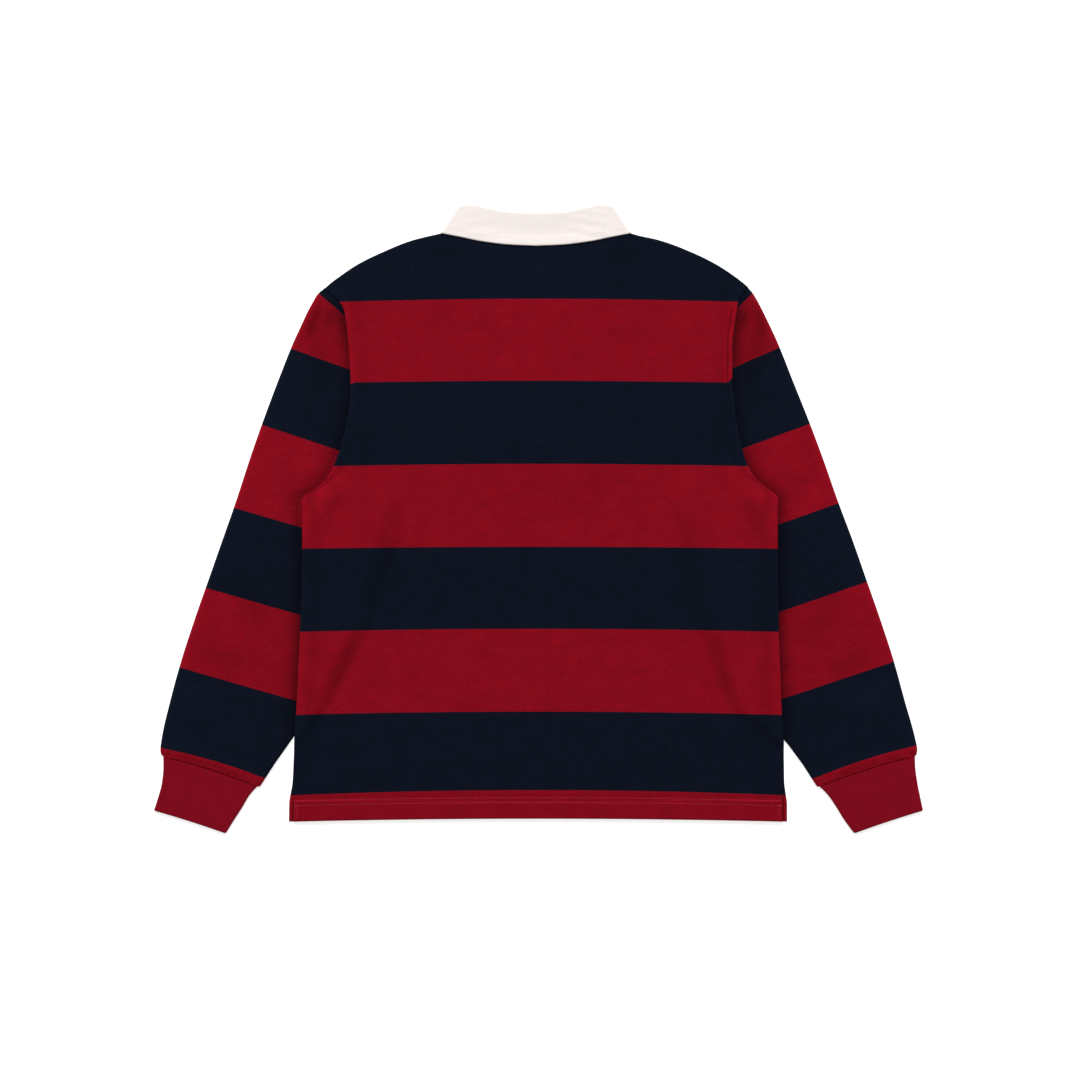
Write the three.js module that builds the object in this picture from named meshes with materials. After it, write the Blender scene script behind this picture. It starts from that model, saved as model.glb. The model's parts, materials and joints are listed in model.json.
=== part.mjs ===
import * as THREE from 'three';

// A long-sleeved rugby shirt laid flat on a floor at z = 0, back up, its sleeves brought down under its sides.
// Millimetres: +Z is up, +Y runs from the hem to the collar, +X points to the wearer's right sleeve.

// Cloth
const JERSEY = 1.2;
const HEM_WALL = 2.0;
const TWILL = 1.4;
const RIB = 1.5;
const SEAM_GAP = 0.3;
const RAW_EDGE = 0.65;
const PANEL_GAP = 0.36;
const NECK_EASE = 0.5;

// Body
const HEM_MID_Y = -359.7;
const HEM_CORNER_Y = -363.3;
const HEM_HALF_WIDTH = 294;
const SHOULDER_Y = 279;
const CENTRE_LEAN = -3;
const COLUMNS_PER_HALF = 12;

// Neck, collar and placket
const NECK_SPACE = 3.1;
const COLLAR_HEIGHT = 4 * TWILL + 2 * SEAM_GAP + NECK_SPACE;
const NECK_LEVEL = COLLAR_HEIGHT - 2 * TWILL - SEAM_GAP;
const FOLD_LIP = 3;
const FOLD_ROUND = 0.5;
const PLACKET_HALF = 16.5;
const PLACKET_FOOT_SIDE_Y = 110;
const PLACKET_WALL = 1.2;
const PLACKET_COLUMNS = 8;
const BUTTON_RADIUS = 7.5;
const BUTTON_HEIGHT = 1.8;
const BUTTON_RIM = 1.6;
const BUTTON_DISH = 0.5;
const BUTTON_ROUND = 0.4;
const BUTTON_SIDES = 20;
const BUTTON_ROWS_Y = [226, 178, 130];

// Sleeves
const SLEEVE_LOFT = 0.9;
const SLEEVE_COLUMNS = 6;
const SLEEVE_STACK = 2 * JERSEY + 2 * SEAM_GAP;
const LOWER_SLEEVE_ROWS = 11;

const CRIMSON = 0x83101f;
const NAVY = 0x0f1421;
const CREAM = 0xf3e8e3;
const RUBBER = 0xe9e4da;

// Side edges of the body from the hem corner up to the top of the armhole. The armpit is at y = 8.
// frontOut: how far the front panel shows past the back one, hem: 1 in the turned hem
const SIDE_ROWS = [
  { y: -363.3, left: -294.6, right: 293.4, frontOut: 5.4, hem: 1 },
  { y: -339.3, left: -294.6, right: 293.6, frontOut: 5.0, hem: 1 },
  { y: -337.8, left: -294.6, right: 293.6, frontOut: 4.8, hem: 0 },
  { y: -315, left: -294.4, right: 294.2, frontOut: 1.2, hem: 0 },
  { y: -291, left: -294, right: 294.6, frontOut: 0.4, hem: 0 },
  { y: -267, left: -293.4, right: 294.6, frontOut: 0, hem: 0 },
  { y: -231, left: -291, right: 292.2, frontOut: 0, hem: 0 },
  { y: -198, left: -289.4, right: 291, frontOut: 0, hem: 0 },
  { y: -165, left: -287.8, right: 289.8, frontOut: 0, hem: 0 },
  { y: -133, left: -286.2, right: 288.6, frontOut: 0, hem: 0 },
  { y: -100, left: -285.4, right: 288.2, frontOut: 0, hem: 0 },
  { y: -67, left: -284.6, right: 287.8, frontOut: 0, hem: 0 },
  { y: -34, left: -283.8, right: 287.4, frontOut: 0, hem: 0 },
  { y: -13, left: -283.8, right: 287.4, frontOut: 0, hem: 0 },
  { y: 8, left: -283.8, right: 287.4, frontOut: 0, hem: 0 },
  { y: 20, left: -283, right: 287, frontOut: 0, hem: 0 },
  { y: 28, left: -280.2, right: 284, frontOut: 0, hem: 0 },
  { y: 34, left: -270.6, right: 276.6, frontOut: 0, hem: 0 },
  { y: 46, left: -256.2, right: 262.2, frontOut: 0, hem: 0 },
  { y: 62, left: -246.6, right: 251.4, frontOut: 0, hem: 0 },
  { y: 87, left: -237.2, right: 243, frontOut: 0, hem: 0 },
  { y: 110, left: -231.4, right: 238, frontOut: 0, hem: 0 },
  { y: 137, left: -226.4, right: 234.8, frontOut: 0, hem: 0 },
  { y: 165, left: -225, right: 231.8, frontOut: 0, hem: 0 },
  { y: 181, left: -225.6, right: 232.2, frontOut: 0, hem: 0 },
  { y: 208, left: -227.4, right: 232.2, frontOut: 0, hem: 0 },
  { y: 239, left: -231, right: 234.8, frontOut: 0, hem: 0 },
  { y: 259, left: -236.5, right: 238, frontOut: 0, hem: 0 },
  { y: 279, left: -252.6, right: 246, frontOut: 0, hem: 0 },
];

// Shoulders and necklines from left to right
const TOP_EDGE = [
  { x: -252.6, back: 279, front: 279 },
  { x: -239.4, back: 291.9, front: 291.9 },
  { x: -217.8, back: 306.3, front: 306.3 },
  { x: -187.8, back: 320.7, front: 320.7 },
  { x: -150.6, back: 335.1, front: 335.1 },
  { x: -124.2, back: 341.6, front: 341.6 },
  { x: -108, back: 341.8, front: 341.8 },
  { x: -92, back: 347, front: 347 },
  { x: -88, back: 348, front: 330 },
  { x: -75, back: 348.5, front: 300 },
  { x: -50, back: 346.5, front: 272 },
  { x: -19.5, back: 345, front: 258 },
  { x: 13.5, back: 345, front: 258 },
  { x: 44, back: 346.5, front: 272 },
  { x: 70, back: 348.5, front: 300 },
  { x: 82, back: 348, front: 330 },
  { x: 86, back: 347, front: 347 },
  { x: 102, back: 341.8, front: 341.8 },
  { x: 114.6, back: 341.6, front: 341.6 },
  { x: 144.6, back: 335.1, front: 335.1 },
  { x: 184.2, back: 320.7, front: 320.7 },
  { x: 214.2, back: 306.3, front: 306.3 },
  { x: 237, back: 291.9, front: 291.9 },
  { x: 246, back: 279, front: 279 },
];

// Soft folds that stand up from the back panel
const BACK_FOLDS = [
  { fromX: -236, fromY: 74, toX: -262, toY: -20, width: 11, height: 1.4 },
  { fromX: 244, fromY: 74, toX: 268, toY: -20, width: 11, height: 1.3 },
  { fromX: -214, fromY: 150, toX: -190, toY: 60, width: 14, height: 1.0 },
  { fromX: 218, fromY: 160, toX: 196, toY: 64, width: 14, height: 0.9 },
];

// Outer edge of both sleeves from the shoulder to the cuff seam
const SLEEVE_OUTER = [
  { y: 278.5, left: -258.5, right: 252 },
  { y: 270.3, left: -267, right: 258.6 },
  { y: 263.1, left: -270.6, right: 263.4 },
  { y: 239.1, left: -282.6, right: 275.4 },
  { y: 215.1, left: -293.4, right: 286.2 },
  { y: 167.1, left: -312.6, right: 305.4 },
  { y: 119.1, left: -330.6, right: 324.6 },
  { y: 71.1, left: -347.4, right: 342.6 },
  { y: 23.1, left: -363, right: 359.4 },
  { y: -24.9, left: -379.8, right: 377.4 },
  { y: -72.9, left: -396.6, right: 394.2 },
  { y: -120.9, left: -413.4, right: 411 },
  { y: -168.9, left: -429, right: 426.6 },
  { y: -216.9, left: -442.2, right: 439.8 },
  { y: -264.9, left: -453, right: 453 },
  { y: -277, left: -454.4, right: 455.2 },
  { y: -284.4, left: -453, right: 454 },
];

// Rows across the upper sleeve: outerY on the outer edge, sideY on the armhole seam
const ARMHOLE_ROWS = [
  { outerY: 278, sideY: 276 },
  { outerY: 272, sideY: 269 },
  { outerY: 264, sideY: 259 },
  { outerY: 250, sideY: 239 },
  { outerY: 230, sideY: 208 },
  { outerY: 212, sideY: 181 },
  { outerY: 198, sideY: 165 },
  { outerY: 175, sideY: 137 },
  { outerY: 152, sideY: 110 },
  { outerY: 132, sideY: 87 },
  { outerY: 110, sideY: 62 },
  { outerY: 93, sideY: 46 },
  { outerY: 78, sideY: 34 },
  { outerY: 66, sideY: 28 },
  { outerY: 54, sideY: 20 },
  { outerY: 40, sideY: 8 },
];

// Edge of the tucked sleeve under the body: from the armpit in to its pleat's corner, then down to the cuff
const TUCKED_EDGE = [
  { share: 0, left: -284.1, right: 287.7, y: 8 },
  { share: 0.1, left: -230, right: 232, y: -5 },
  { share: 0.2, left: -176, right: 181, y: -18 },
  { share: 0.26, left: -187, right: 184, y: -46 },
  { share: 0.33, left: -200, right: 189, y: -75 },
  { share: 0.43, left: -211, right: 198, y: -116 },
  { share: 0.53, left: -228, right: 212, y: -152 },
  { share: 0.64, left: -246, right: 225, y: -187 },
  { share: 0.76, left: -269, right: 247, y: -226 },
  { share: 0.88, left: -298, right: 297, y: -267 },
  { share: 0.94, left: -317, right: 317, y: -294 },
  { share: 1, left: -337, right: 337, y: -321.4 },
];
const LAST_TUCKED_SHARE = 0.88;

// Rows across the cuffs, from the sleeve seam to the end of the cuff
const CUFF_ROWS = {
  left: [
    { outerX: -450.8, outerY: -285.5, innerX: -338.2, innerY: -321.4 },
    { outerX: -450.9, outerY: -300, innerX: -347.3, innerY: -332 },
    { outerX: -452.8, outerY: -318, innerX: -356, innerY: -346.5 },
    { outerX: -457, outerY: -334, innerX: -366, innerY: -362 },
    { outerX: -462.3, outerY: -350.4, innerX: -376, innerY: -378.3 },
  ],
  right: [
    { outerX: 452.2, outerY: -285.4, innerX: 337.9, innerY: -321.5 },
    { outerX: 453, outerY: -300, innerX: 347.6, innerY: -331.5 },
    { outerX: 455.6, outerY: -318, innerX: 357.4, innerY: -345.5 },
    { outerX: 458.8, outerY: -334, innerX: 367.6, innerY: -362 },
    { outerX: 462.3, outerY: -350.4, innerX: 379.6, innerY: -378.3 },
  ],
};

// Half of the collar from the centre back round to the front point. turn: degrees round the side of the neck
const FALL_ROWS = [
  { foldX: 0, foldY: 368.7, edgeX: 0, edgeY: 327.9, turn: 0 },
  { foldX: 29.4, foldY: 369.9, edgeX: 32, edgeY: 329.3, turn: 0 },
  { foldX: 53.5, foldY: 373.8, edgeX: 64, edgeY: 333.2, turn: 0 },
  { foldX: 76, foldY: 378.3, edgeX: 91, edgeY: 338.6, turn: 0 },
  { foldX: 88, foldY: 377.6, edgeX: 111.5, edgeY: 343, turn: 0 },
  { foldX: 89.6, foldY: 374, edgeX: 112.2, edgeY: 344, turn: 45 },
  { foldX: 89.6, foldY: 373, edgeX: 112.2, edgeY: 344.2, turn: 90 },
  { foldX: 89, foldY: 372, edgeX: 112, edgeY: 343.4, turn: 135 },
  { foldX: 88, foldY: 370, edgeX: 111.5, edgeY: 340.8, turn: 180 },
  { foldX: 69, foldY: 343, edgeX: 108, edgeY: 305, turn: 180 },
  { foldX: 53, foldY: 318, edgeX: 99, edgeY: 265, turn: 180 },
  { foldX: 39, foldY: 295, edgeX: 86, edgeY: 240, turn: 180 },
  { foldX: 18.5, foldY: 284, edgeX: 67, edgeY: 222, turn: 180 },
];
const STAND_ROWS = [
  { foldX: 0, foldY: 367, edgeX: 0, edgeY: 345.5, turn: 0 },
  { foldX: 29.2, foldY: 368.2, edgeX: 30, edgeY: 346, turn: 0 },
  { foldX: 53, foldY: 372, edgeX: 56, edgeY: 347.7, turn: 0 },
  { foldX: 75, foldY: 375.3, edgeX: 80, edgeY: 350.2, turn: 0 },
  { foldX: 86.5, foldY: 374.4, edgeX: 91, edgeY: 352.5, turn: 0 },
  { foldX: 88, foldY: 371.4, edgeX: 91.3, edgeY: 353.3, turn: 45 },
  { foldX: 88, foldY: 370, edgeX: 91.5, edgeY: 353.5, turn: 90 },
  { foldX: 88.8, foldY: 368.6, edgeX: 91.2, edgeY: 353.2, turn: 135 },
  { foldX: 89.4, foldY: 368, edgeX: 91.5, edgeY: 352, turn: 180 },
  { foldX: 70.6, foldY: 341.4, edgeX: 82.5, edgeY: 333.5, turn: 180 },
  { foldX: 54.5, foldY: 316.2, edgeX: 69.5, edgeY: 303.5, turn: 180 },
  { foldX: 40.5, foldY: 293.2, edgeX: 45, edgeY: 276.5, turn: 180 },
  { foldX: 20, foldY: 282, edgeX: 18, edgeY: 260.4, turn: 180 },
  { foldX: 5, foldY: 280.6, edgeX: 2, edgeY: 259.8, turn: 180 },
];
const COLLAR_SIDE_OUT = new THREE.Vector2(0.795, 0.607);

// Places that lift the panels above them: the tucked sleeve, the collar's leaf, and the neck and placket
const TUCKED_ROWS = TUCKED_EDGE.filter((row) => row.share <= LAST_TUCKED_SHARE);
const TUCK_OUTLINES = {
  left: TUCKED_ROWS.map((row) => [row.left, row.y]),
  right: TUCKED_ROWS.map((row) => [row.right, row.y]),
};
const LEAF_OUTLINE = [[112, 345], [108, 303], [99, 263], [86, 238], [67, 220], [18, 282], [60, 345]];
const NECK_OUTLINE = [
  [-92, 380], [-92, 330], [-22, 245], [-22, 96], [16, 96], [16, 245], [88, 330], [88, 380],
];
const TUCK_REACH = { flat: 22, end: 54 };
const LEAF_REACH = { flat: 10, end: 42 };
const NECK_REACH = { flat: 6, end: 95 };

function lookUp(table, key, at, column) {
  const rising = table[table.length - 1][key] > table[0][key];
  const rows = rising ? table : [...table].reverse();
  const next = rows.findIndex((row) => row[key] >= at);
  if (next <= 0) {
    return (next === 0 ? rows[0] : rows[rows.length - 1])[column];
  }
  const from = rows[next - 1];
  const to = rows[next];
  return THREE.MathUtils.mapLinear(at, from[key], to[key], from[column], to[column]);
}

function distanceOutside(outline, x, y) {
  let inside = false;
  let nearest = Infinity;
  outline.forEach(([ax, ay], index) => {
    const [bx, by] = outline[(index + 1) % outline.length];
    if (ay > y !== by > y && x < ax + ((y - ay) / (by - ay)) * (bx - ax)) {
      inside = !inside;
    }
    const along = ((x - ax) * (bx - ax) + (y - ay) * (by - ay)) / ((bx - ax) ** 2 + (by - ay) ** 2);
    const share = THREE.MathUtils.clamp(along, 0, 1);
    nearest = Math.min(nearest, Math.hypot(ax + share * (bx - ax) - x, ay + share * (by - ay) - y));
  });
  return inside ? 0 : nearest;
}

function liftOver(outline, reach, x, y) {
  return 1 - THREE.MathUtils.smoothstep(distanceOutside(outline, x, y), reach.flat, reach.end);
}

function overTuck(x, y) {
  return liftOver(x < 0 ? TUCK_OUTLINES.left : TUCK_OUTLINES.right, TUCK_REACH, x, y);
}

function frontLift(x, y) {
  const tucked = SLEEVE_STACK * overTuck(x, y);
  const leaf = (TWILL + SEAM_GAP) * liftOver(LEAF_OUTLINE, LEAF_REACH, Math.abs(x), y);
  return Math.max(tucked, leaf);
}

function foldHeight(x, y) {
  return BACK_FOLDS.reduce((height, fold) => {
    const run = new THREE.Vector2(fold.toX - fold.fromX, fold.toY - fold.fromY);
    const offset = new THREE.Vector2(x - fold.fromX, y - fold.fromY);
    const share = THREE.MathUtils.clamp(offset.dot(run) / run.lengthSq(), 0, 1);
    const away = offset.distanceTo(run.clone().multiplyScalar(share)) / fold.width;
    return height + fold.height * Math.exp(-away * away) * Math.sin(Math.PI * (0.1 + 0.8 * share));
  }, 0);
}

// Closed wall over a grid of points, faces on its outside and backs on its inside. A ring joins its last
// column to its first, and isOpen leaves cells out.
function clothWall(faces, backs, { ring = false, isOpen = () => false } = {}) {
  const rows = faces.length;
  const columns = faces[0].length;
  const cells = ring ? columns : columns - 1;
  const positions = [];
  const index = [];
  const numbers = new Map();
  const vertex = (grid, row, column) => {
    const place = column % columns;
    const key = `${grid === faces ? 'face' : 'back'} ${row} ${place}`;
    if (!numbers.has(key)) {
      numbers.set(key, numbers.size);
      positions.push(...grid[row][place].toArray());
    }
    return numbers.get(key);
  };
  const isThere = (row, cell) => {
    const inRange = row >= 0 && row < rows - 1 && (ring || (cell >= 0 && cell < cells));
    return inRange && !isOpen(row, (cell + cells) % cells);
  };
  const addQuad = (a, b, c, d) => index.push(a, b, c, a, c, d);
  for (let row = 0; row < rows - 1; row += 1) {
    for (let cell = 0; cell < cells; cell += 1) {
      if (!isThere(row, cell)) {
        continue;
      }
      const corners = [[row, cell], [row, cell + 1], [row + 1, cell + 1], [row + 1, cell]];
      const [fa, fb, fc, fd] = corners.map(([r, c]) => vertex(faces, r, c));
      const [ba, bb, bc, bd] = corners.map(([r, c]) => vertex(backs, r, c));
      addQuad(fa, fb, fc, fd);
      addQuad(ba, bd, bc, bb);
      if (!isThere(row - 1, cell)) {
        addQuad(fb, fa, ba, bb);
      }
      if (!isThere(row + 1, cell)) {
        addQuad(fd, fc, bc, bd);
      }
      if (!isThere(row, cell - 1)) {
        addQuad(fa, fd, bd, ba);
      }
      if (!isThere(row, cell + 1)) {
        addQuad(fc, fb, bb, bc);
      }
    }
  }
  const geometry = new THREE.BufferGeometry();
  geometry.setAttribute('position', new THREE.Float32BufferAttribute(positions, 3));
  geometry.setIndex(facingOut(positions, index));
  geometry.computeVertexNormals();
  return geometry;
}

function facingOut(positions, index) {
  const point = (number) => new THREE.Vector3().fromArray(positions, 3 * number);
  let volume = 0;
  for (let corner = 0; corner < index.length; corner += 3) {
    const [a, b, c] = index.slice(corner, corner + 3).map(point);
    volume += a.dot(b.cross(c));
  }
  return volume > 0 ? index : [...index].reverse();
}

function hemY(x) {
  return HEM_MID_Y + (HEM_CORNER_Y - HEM_MID_Y) * (x / HEM_HALF_WIDTH) ** 2;
}

// Across a row: the left half's columns up to the placket, then the right half's
function acrossBody(left, right) {
  const half = Array.from({ length: COLUMNS_PER_HALF + 1 }, (_, column) => column / COLUMNS_PER_HALF);
  const slotLeft = CENTRE_LEAN - PLACKET_HALF;
  const slotRight = CENTRE_LEAN + PLACKET_HALF;
  return [
    ...half.map((share) => THREE.MathUtils.lerp(left, slotLeft, share)),
    ...half.map((share) => THREE.MathUtils.lerp(slotRight, right, share)),
  ];
}

function bodyPlan(panel) {
  const top = SIDE_ROWS[SIDE_ROWS.length - 1];
  const topXs = acrossBody(top.left, top.right);
  const hemXs = acrossBody(-HEM_HALF_WIDTH, HEM_HALF_WIDTH);
  return SIDE_ROWS.map((side) => {
    const out = panel === 'front' ? side.frontOut : 0;
    const share = (side.y - HEM_CORNER_Y) / (SHOULDER_Y - HEM_CORNER_Y);
    return acrossBody(side.left - out, side.right + out).map((x, column) => {
      const y = THREE.MathUtils.lerp(hemY(hemXs[column]), lookUp(TOP_EDGE, 'x', topXs[column], panel), share);
      return new THREE.Vector2(x, y);
    });
  });
}

function panelWall(plan, floorOf, isOpen) {
  const lastRow = plan.length - 1;
  const wallOf = (row) => (SIDE_ROWS[row].hem ? HEM_WALL : JERSEY);
  const backs = plan.map((points, row) => (
    points.map(({ x, y }) => new THREE.Vector3(x, y, floorOf(x, y, wallOf(row))))
  ));
  const faces = backs.map((points, row) => points.map((point, column) => {
    const onEdge = column === 0 || column === points.length - 1 || row === 0 || row === lastRow;
    return point.clone().setZ(point.z + wallOf(row) * (onEdge ? RAW_EDGE : 1));
  }));
  return clothWall(faces, backs, { isOpen });
}

function backFloor(x, y, wall) {
  const nearNeck = liftOver(NECK_OUTLINE, NECK_REACH, x, y);
  const overFront = frontLift(x, y) + wall + PANEL_GAP + NECK_EASE * nearNeck;
  return Math.max(overFront, NECK_LEVEL * nearNeck) + foldHeight(x, y);
}

// Flattened tube along rows that run from its outer edge to its inner one. Its walls part at the armhole,
// where isParted is true, and elsewhere they turn round the inner edge.
function sleeveWall(rows, wall, gap, loftOf, isParted = () => false) {
  const midZ = wall + gap / 2;
  const grids = rows.map((row, number) => {
    const outer = new THREE.Vector2(row.outerX, row.outerY);
    const inner = new THREE.Vector2(row.innerX, row.innerY);
    const width = outer.distanceTo(inner);
    const end = isParted(number) ? width : width - midZ;
    const at = (distance, z) => {
      const place = outer.clone().lerp(inner, distance / width);
      return new THREE.Vector3(place.x, place.y, z);
    };
    const across = Array.from({ length: SLEEVE_COLUMNS + 1 }, (_, column) => column / SLEEVE_COLUMNS);
    const reach = (share) => THREE.MathUtils.lerp(midZ, end, share);
    const upper = (share, z) => {
      const place = at(reach(share), z);
      return place.setZ(z + loftOf(place.x, place.y) * Math.sin(Math.PI * share));
    };
    const downward = [...across].reverse();
    const faces = [
      ...downward.map((share) => upper(share, 2 * wall + gap)),
      at(0, midZ),
      ...across.map((share) => at(reach(share), 0)),
      at(width, midZ),
    ];
    const backs = [
      ...downward.map((share) => upper(share, wall + gap)),
      at(wall, midZ),
      ...across.map((share) => at(reach(share), wall)),
      at(width - wall, midZ),
    ];
    return { faces, backs };
  });
  const columns = grids[0].faces.length;
  const isOpen = (row, cell) => isParted(row) && cell >= columns - 2;
  return clothWall(grids.map((grid) => grid.faces), grids.map((grid) => grid.backs), { ring: true, isOpen });
}

function sleeveRows(side) {
  const sign = side === 'left' ? -1 : 1;
  const outerAt = (y) => lookUp(SLEEVE_OUTER, 'y', y, side);
  const upper = ARMHOLE_ROWS.map(({ outerY, sideY }) => ({
    outerX: outerAt(outerY),
    outerY,
    innerX: lookUp(SIDE_ROWS, 'y', sideY, side) + sign * SEAM_GAP,
    innerY: sideY,
  }));
  const firstY = upper[upper.length - 1].outerY;
  const lastY = SLEEVE_OUTER[SLEEVE_OUTER.length - 1].y;
  const [, pleatStart, pleatCorner] = TUCKED_EDGE.map((row) => row.share);
  const step = (1 - pleatCorner) / LOWER_SLEEVE_ROWS;
  const belowPleat = Array.from({ length: LOWER_SLEEVE_ROWS }, (_, row) => pleatCorner + step * (row + 1));
  const lower = [pleatStart, pleatCorner, ...belowPleat].map((share) => {
    const outerY = THREE.MathUtils.lerp(firstY, lastY, share);
    return {
      outerX: outerAt(outerY),
      outerY,
      innerX: lookUp(TUCKED_EDGE, 'share', share, side),
      innerY: lookUp(TUCKED_EDGE, 'share', share, 'y'),
    };
  });
  return [...upper, ...lower];
}

function sleeveLoft(x, y) {
  return SLEEVE_LOFT * (1 - overTuck(x, y));
}

// Band round the neck: its fold line and its free edge, at a radius from the collar's mid height
function collarBand(rows, outerRadius, crest) {
  const midZ = COLLAR_HEIGHT / 2;
  const sections = [
    ...rows.slice(1).reverse().map((row) => ({ ...row, sign: -1 })),
    ...rows.map((row) => ({ ...row, sign: 1 })),
  ];
  const gridAt = (stops) => sections.map((row) => {
    const turn = THREE.MathUtils.degToRad(row.turn);
    const fold = new THREE.Vector2(row.foldX, row.foldY);
    const edge = new THREE.Vector2(row.edgeX, row.edgeY);
    const length = fold.distanceTo(edge);
    return stops(length).map(({ along, radius }) => {
      const place = fold.clone().lerp(edge, along / length);
      place.addScaledVector(COLLAR_SIDE_OUT, radius * Math.sin(turn));
      return new THREE.Vector3(CENTRE_LEAN + row.sign * place.x, place.y, midZ + radius * Math.cos(turn));
    });
  });
  const innerRadius = outerRadius - TWILL;
  const faceCrest = [
    { along: 0, radius: outerRadius - FOLD_LIP },
    { along: 0, radius: outerRadius - FOLD_ROUND },
  ];
  const backCrest = [
    { along: TWILL, radius: outerRadius - FOLD_LIP },
    { along: TWILL, radius: innerRadius - FOLD_ROUND / 5 },
  ];
  const faceStops = (length) => [
    ...(crest ? faceCrest : []),
    { along: crest ? TWILL : 0, radius: outerRadius },
    { along: length / 2, radius: outerRadius },
    { along: length, radius: outerRadius },
  ];
  const backStops = (length) => [
    ...(crest ? backCrest : []),
    { along: crest ? 2 * TWILL : 0, radius: innerRadius },
    { along: length / 2, radius: innerRadius },
    { along: length, radius: innerRadius },
  ];
  return clothWall(gridAt(faceStops), gridAt(backStops));
}

function placketStrip(frontPlan, footRow, floorOf) {
  const shares = Array.from({ length: PLACKET_COLUMNS + 1 }, (_, column) => column / PLACKET_COLUMNS);
  const slotRows = frontPlan.slice(footRow);
  const grid = (rise) => slotRows.map((points, row) => shares.map((share) => {
    const left = points[COLUMNS_PER_HALF];
    const right = points[COLUMNS_PER_HALF + 1];
    const x = THREE.MathUtils.lerp(left.x + SEAM_GAP, right.x - SEAM_GAP, share);
    const y = THREE.MathUtils.lerp(left.y, right.y, share) + (row === 0 ? SEAM_GAP : 0);
    return new THREE.Vector3(x, y, frontLift(x, y) + floorOf(Math.abs(x - CENTRE_LEAN)) + rise);
  }));
  return clothWall(grid(PLACKET_WALL), grid(0));
}

function underStripFloor(fromCentre) {
  const low = PLACKET_WALL + SEAM_GAP;
  const high = low + BUTTON_HEIGHT + SEAM_GAP;
  const fall = THREE.MathUtils.smoothstep(fromCentre, BUTTON_RADIUS + 1, PLACKET_HALF - 1);
  return THREE.MathUtils.lerp(high, low, fall);
}

function buttonSolid() {
  const rim = BUTTON_RADIUS - BUTTON_RIM;
  const dish = BUTTON_HEIGHT - BUTTON_DISH;
  const outline = [
    [0, 0], [BUTTON_RADIUS - BUTTON_ROUND, 0],
    [BUTTON_RADIUS, BUTTON_ROUND], [BUTTON_RADIUS, BUTTON_HEIGHT - BUTTON_ROUND],
    [BUTTON_RADIUS - BUTTON_ROUND, BUTTON_HEIGHT], [rim, BUTTON_HEIGHT],
    [rim - BUTTON_DISH, dish], [0, dish],
  ];
  const profile = outline.map(([radius, height]) => new THREE.Vector2(radius, height));
  return new THREE.LatheGeometry(profile, BUTTON_SIDES).rotateX(Math.PI / 2);
}

function makePiece(name, geometry, color, roughness) {
  const material = new THREE.MeshStandardMaterial({ color, roughness, metalness: 0 });
  const mesh = new THREE.Mesh(geometry, material);
  mesh.name = name;
  return mesh;
}

const shirt = new THREE.Group();

const frontPlan = bodyPlan('front');
const placketFootRow = SIDE_ROWS.findIndex((side) => side.y === PLACKET_FOOT_SIDE_Y);
const isPlacketSlot = (row, cell) => cell === COLUMNS_PER_HALF && row >= placketFootRow;
shirt.add(makePiece('front', panelWall(frontPlan, frontLift, isPlacketSlot), CRIMSON, 0.85));
shirt.add(makePiece('back', panelWall(bodyPlan('back'), backFloor), CRIMSON, 0.85));

for (const side of ['left', 'right']) {
  const isParted = (row) => row < ARMHOLE_ROWS.length - 1;
  const sleeve = sleeveWall(sleeveRows(side), JERSEY, SEAM_GAP, sleeveLoft, isParted);
  shirt.add(makePiece(`sleeve_${side}`, sleeve, NAVY, 0.85));
  shirt.add(makePiece(`cuff_${side}`, sleeveWall(CUFF_ROWS[side], RIB, SEAM_GAP, () => 0), CRIMSON, 0.8));
}

const fallRadius = COLLAR_HEIGHT / 2;
shirt.add(makePiece('collar_fall', collarBand(FALL_ROWS, fallRadius, true), CREAM, 0.75));
const standRadius = fallRadius - TWILL - SEAM_GAP;
shirt.add(makePiece('collar_stand', collarBand(STAND_ROWS, standRadius, false), CREAM, 0.75));

shirt.add(makePiece('placket_over', placketStrip(frontPlan, placketFootRow, () => 0), CREAM, 0.75));
shirt.add(makePiece('placket_under', placketStrip(frontPlan, placketFootRow, underStripFloor), CREAM, 0.75));
BUTTON_ROWS_Y.forEach((y, number) => {
  const button = makePiece(`button_${number + 1}`, buttonSolid(), RUBBER, 0.6);
  button.position.set(CENTRE_LEAN, y, PLACKET_WALL + SEAM_GAP);
  shirt.add(button);
});

export default shirt;
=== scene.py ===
"""A long-sleeved hooped rugby shirt laid flat, back up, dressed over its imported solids.

Lengths in the classes are millimetres, in the frame of the solids: +X to the wearer's right sleeve, +Y from
the hem to the collar, +Z up from the floor. Meshes are written in metres.
"""

from __future__ import annotations

import json
import logging
import math
from collections.abc import Sequence
from dataclasses import dataclass, field
from enum import Enum

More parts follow.
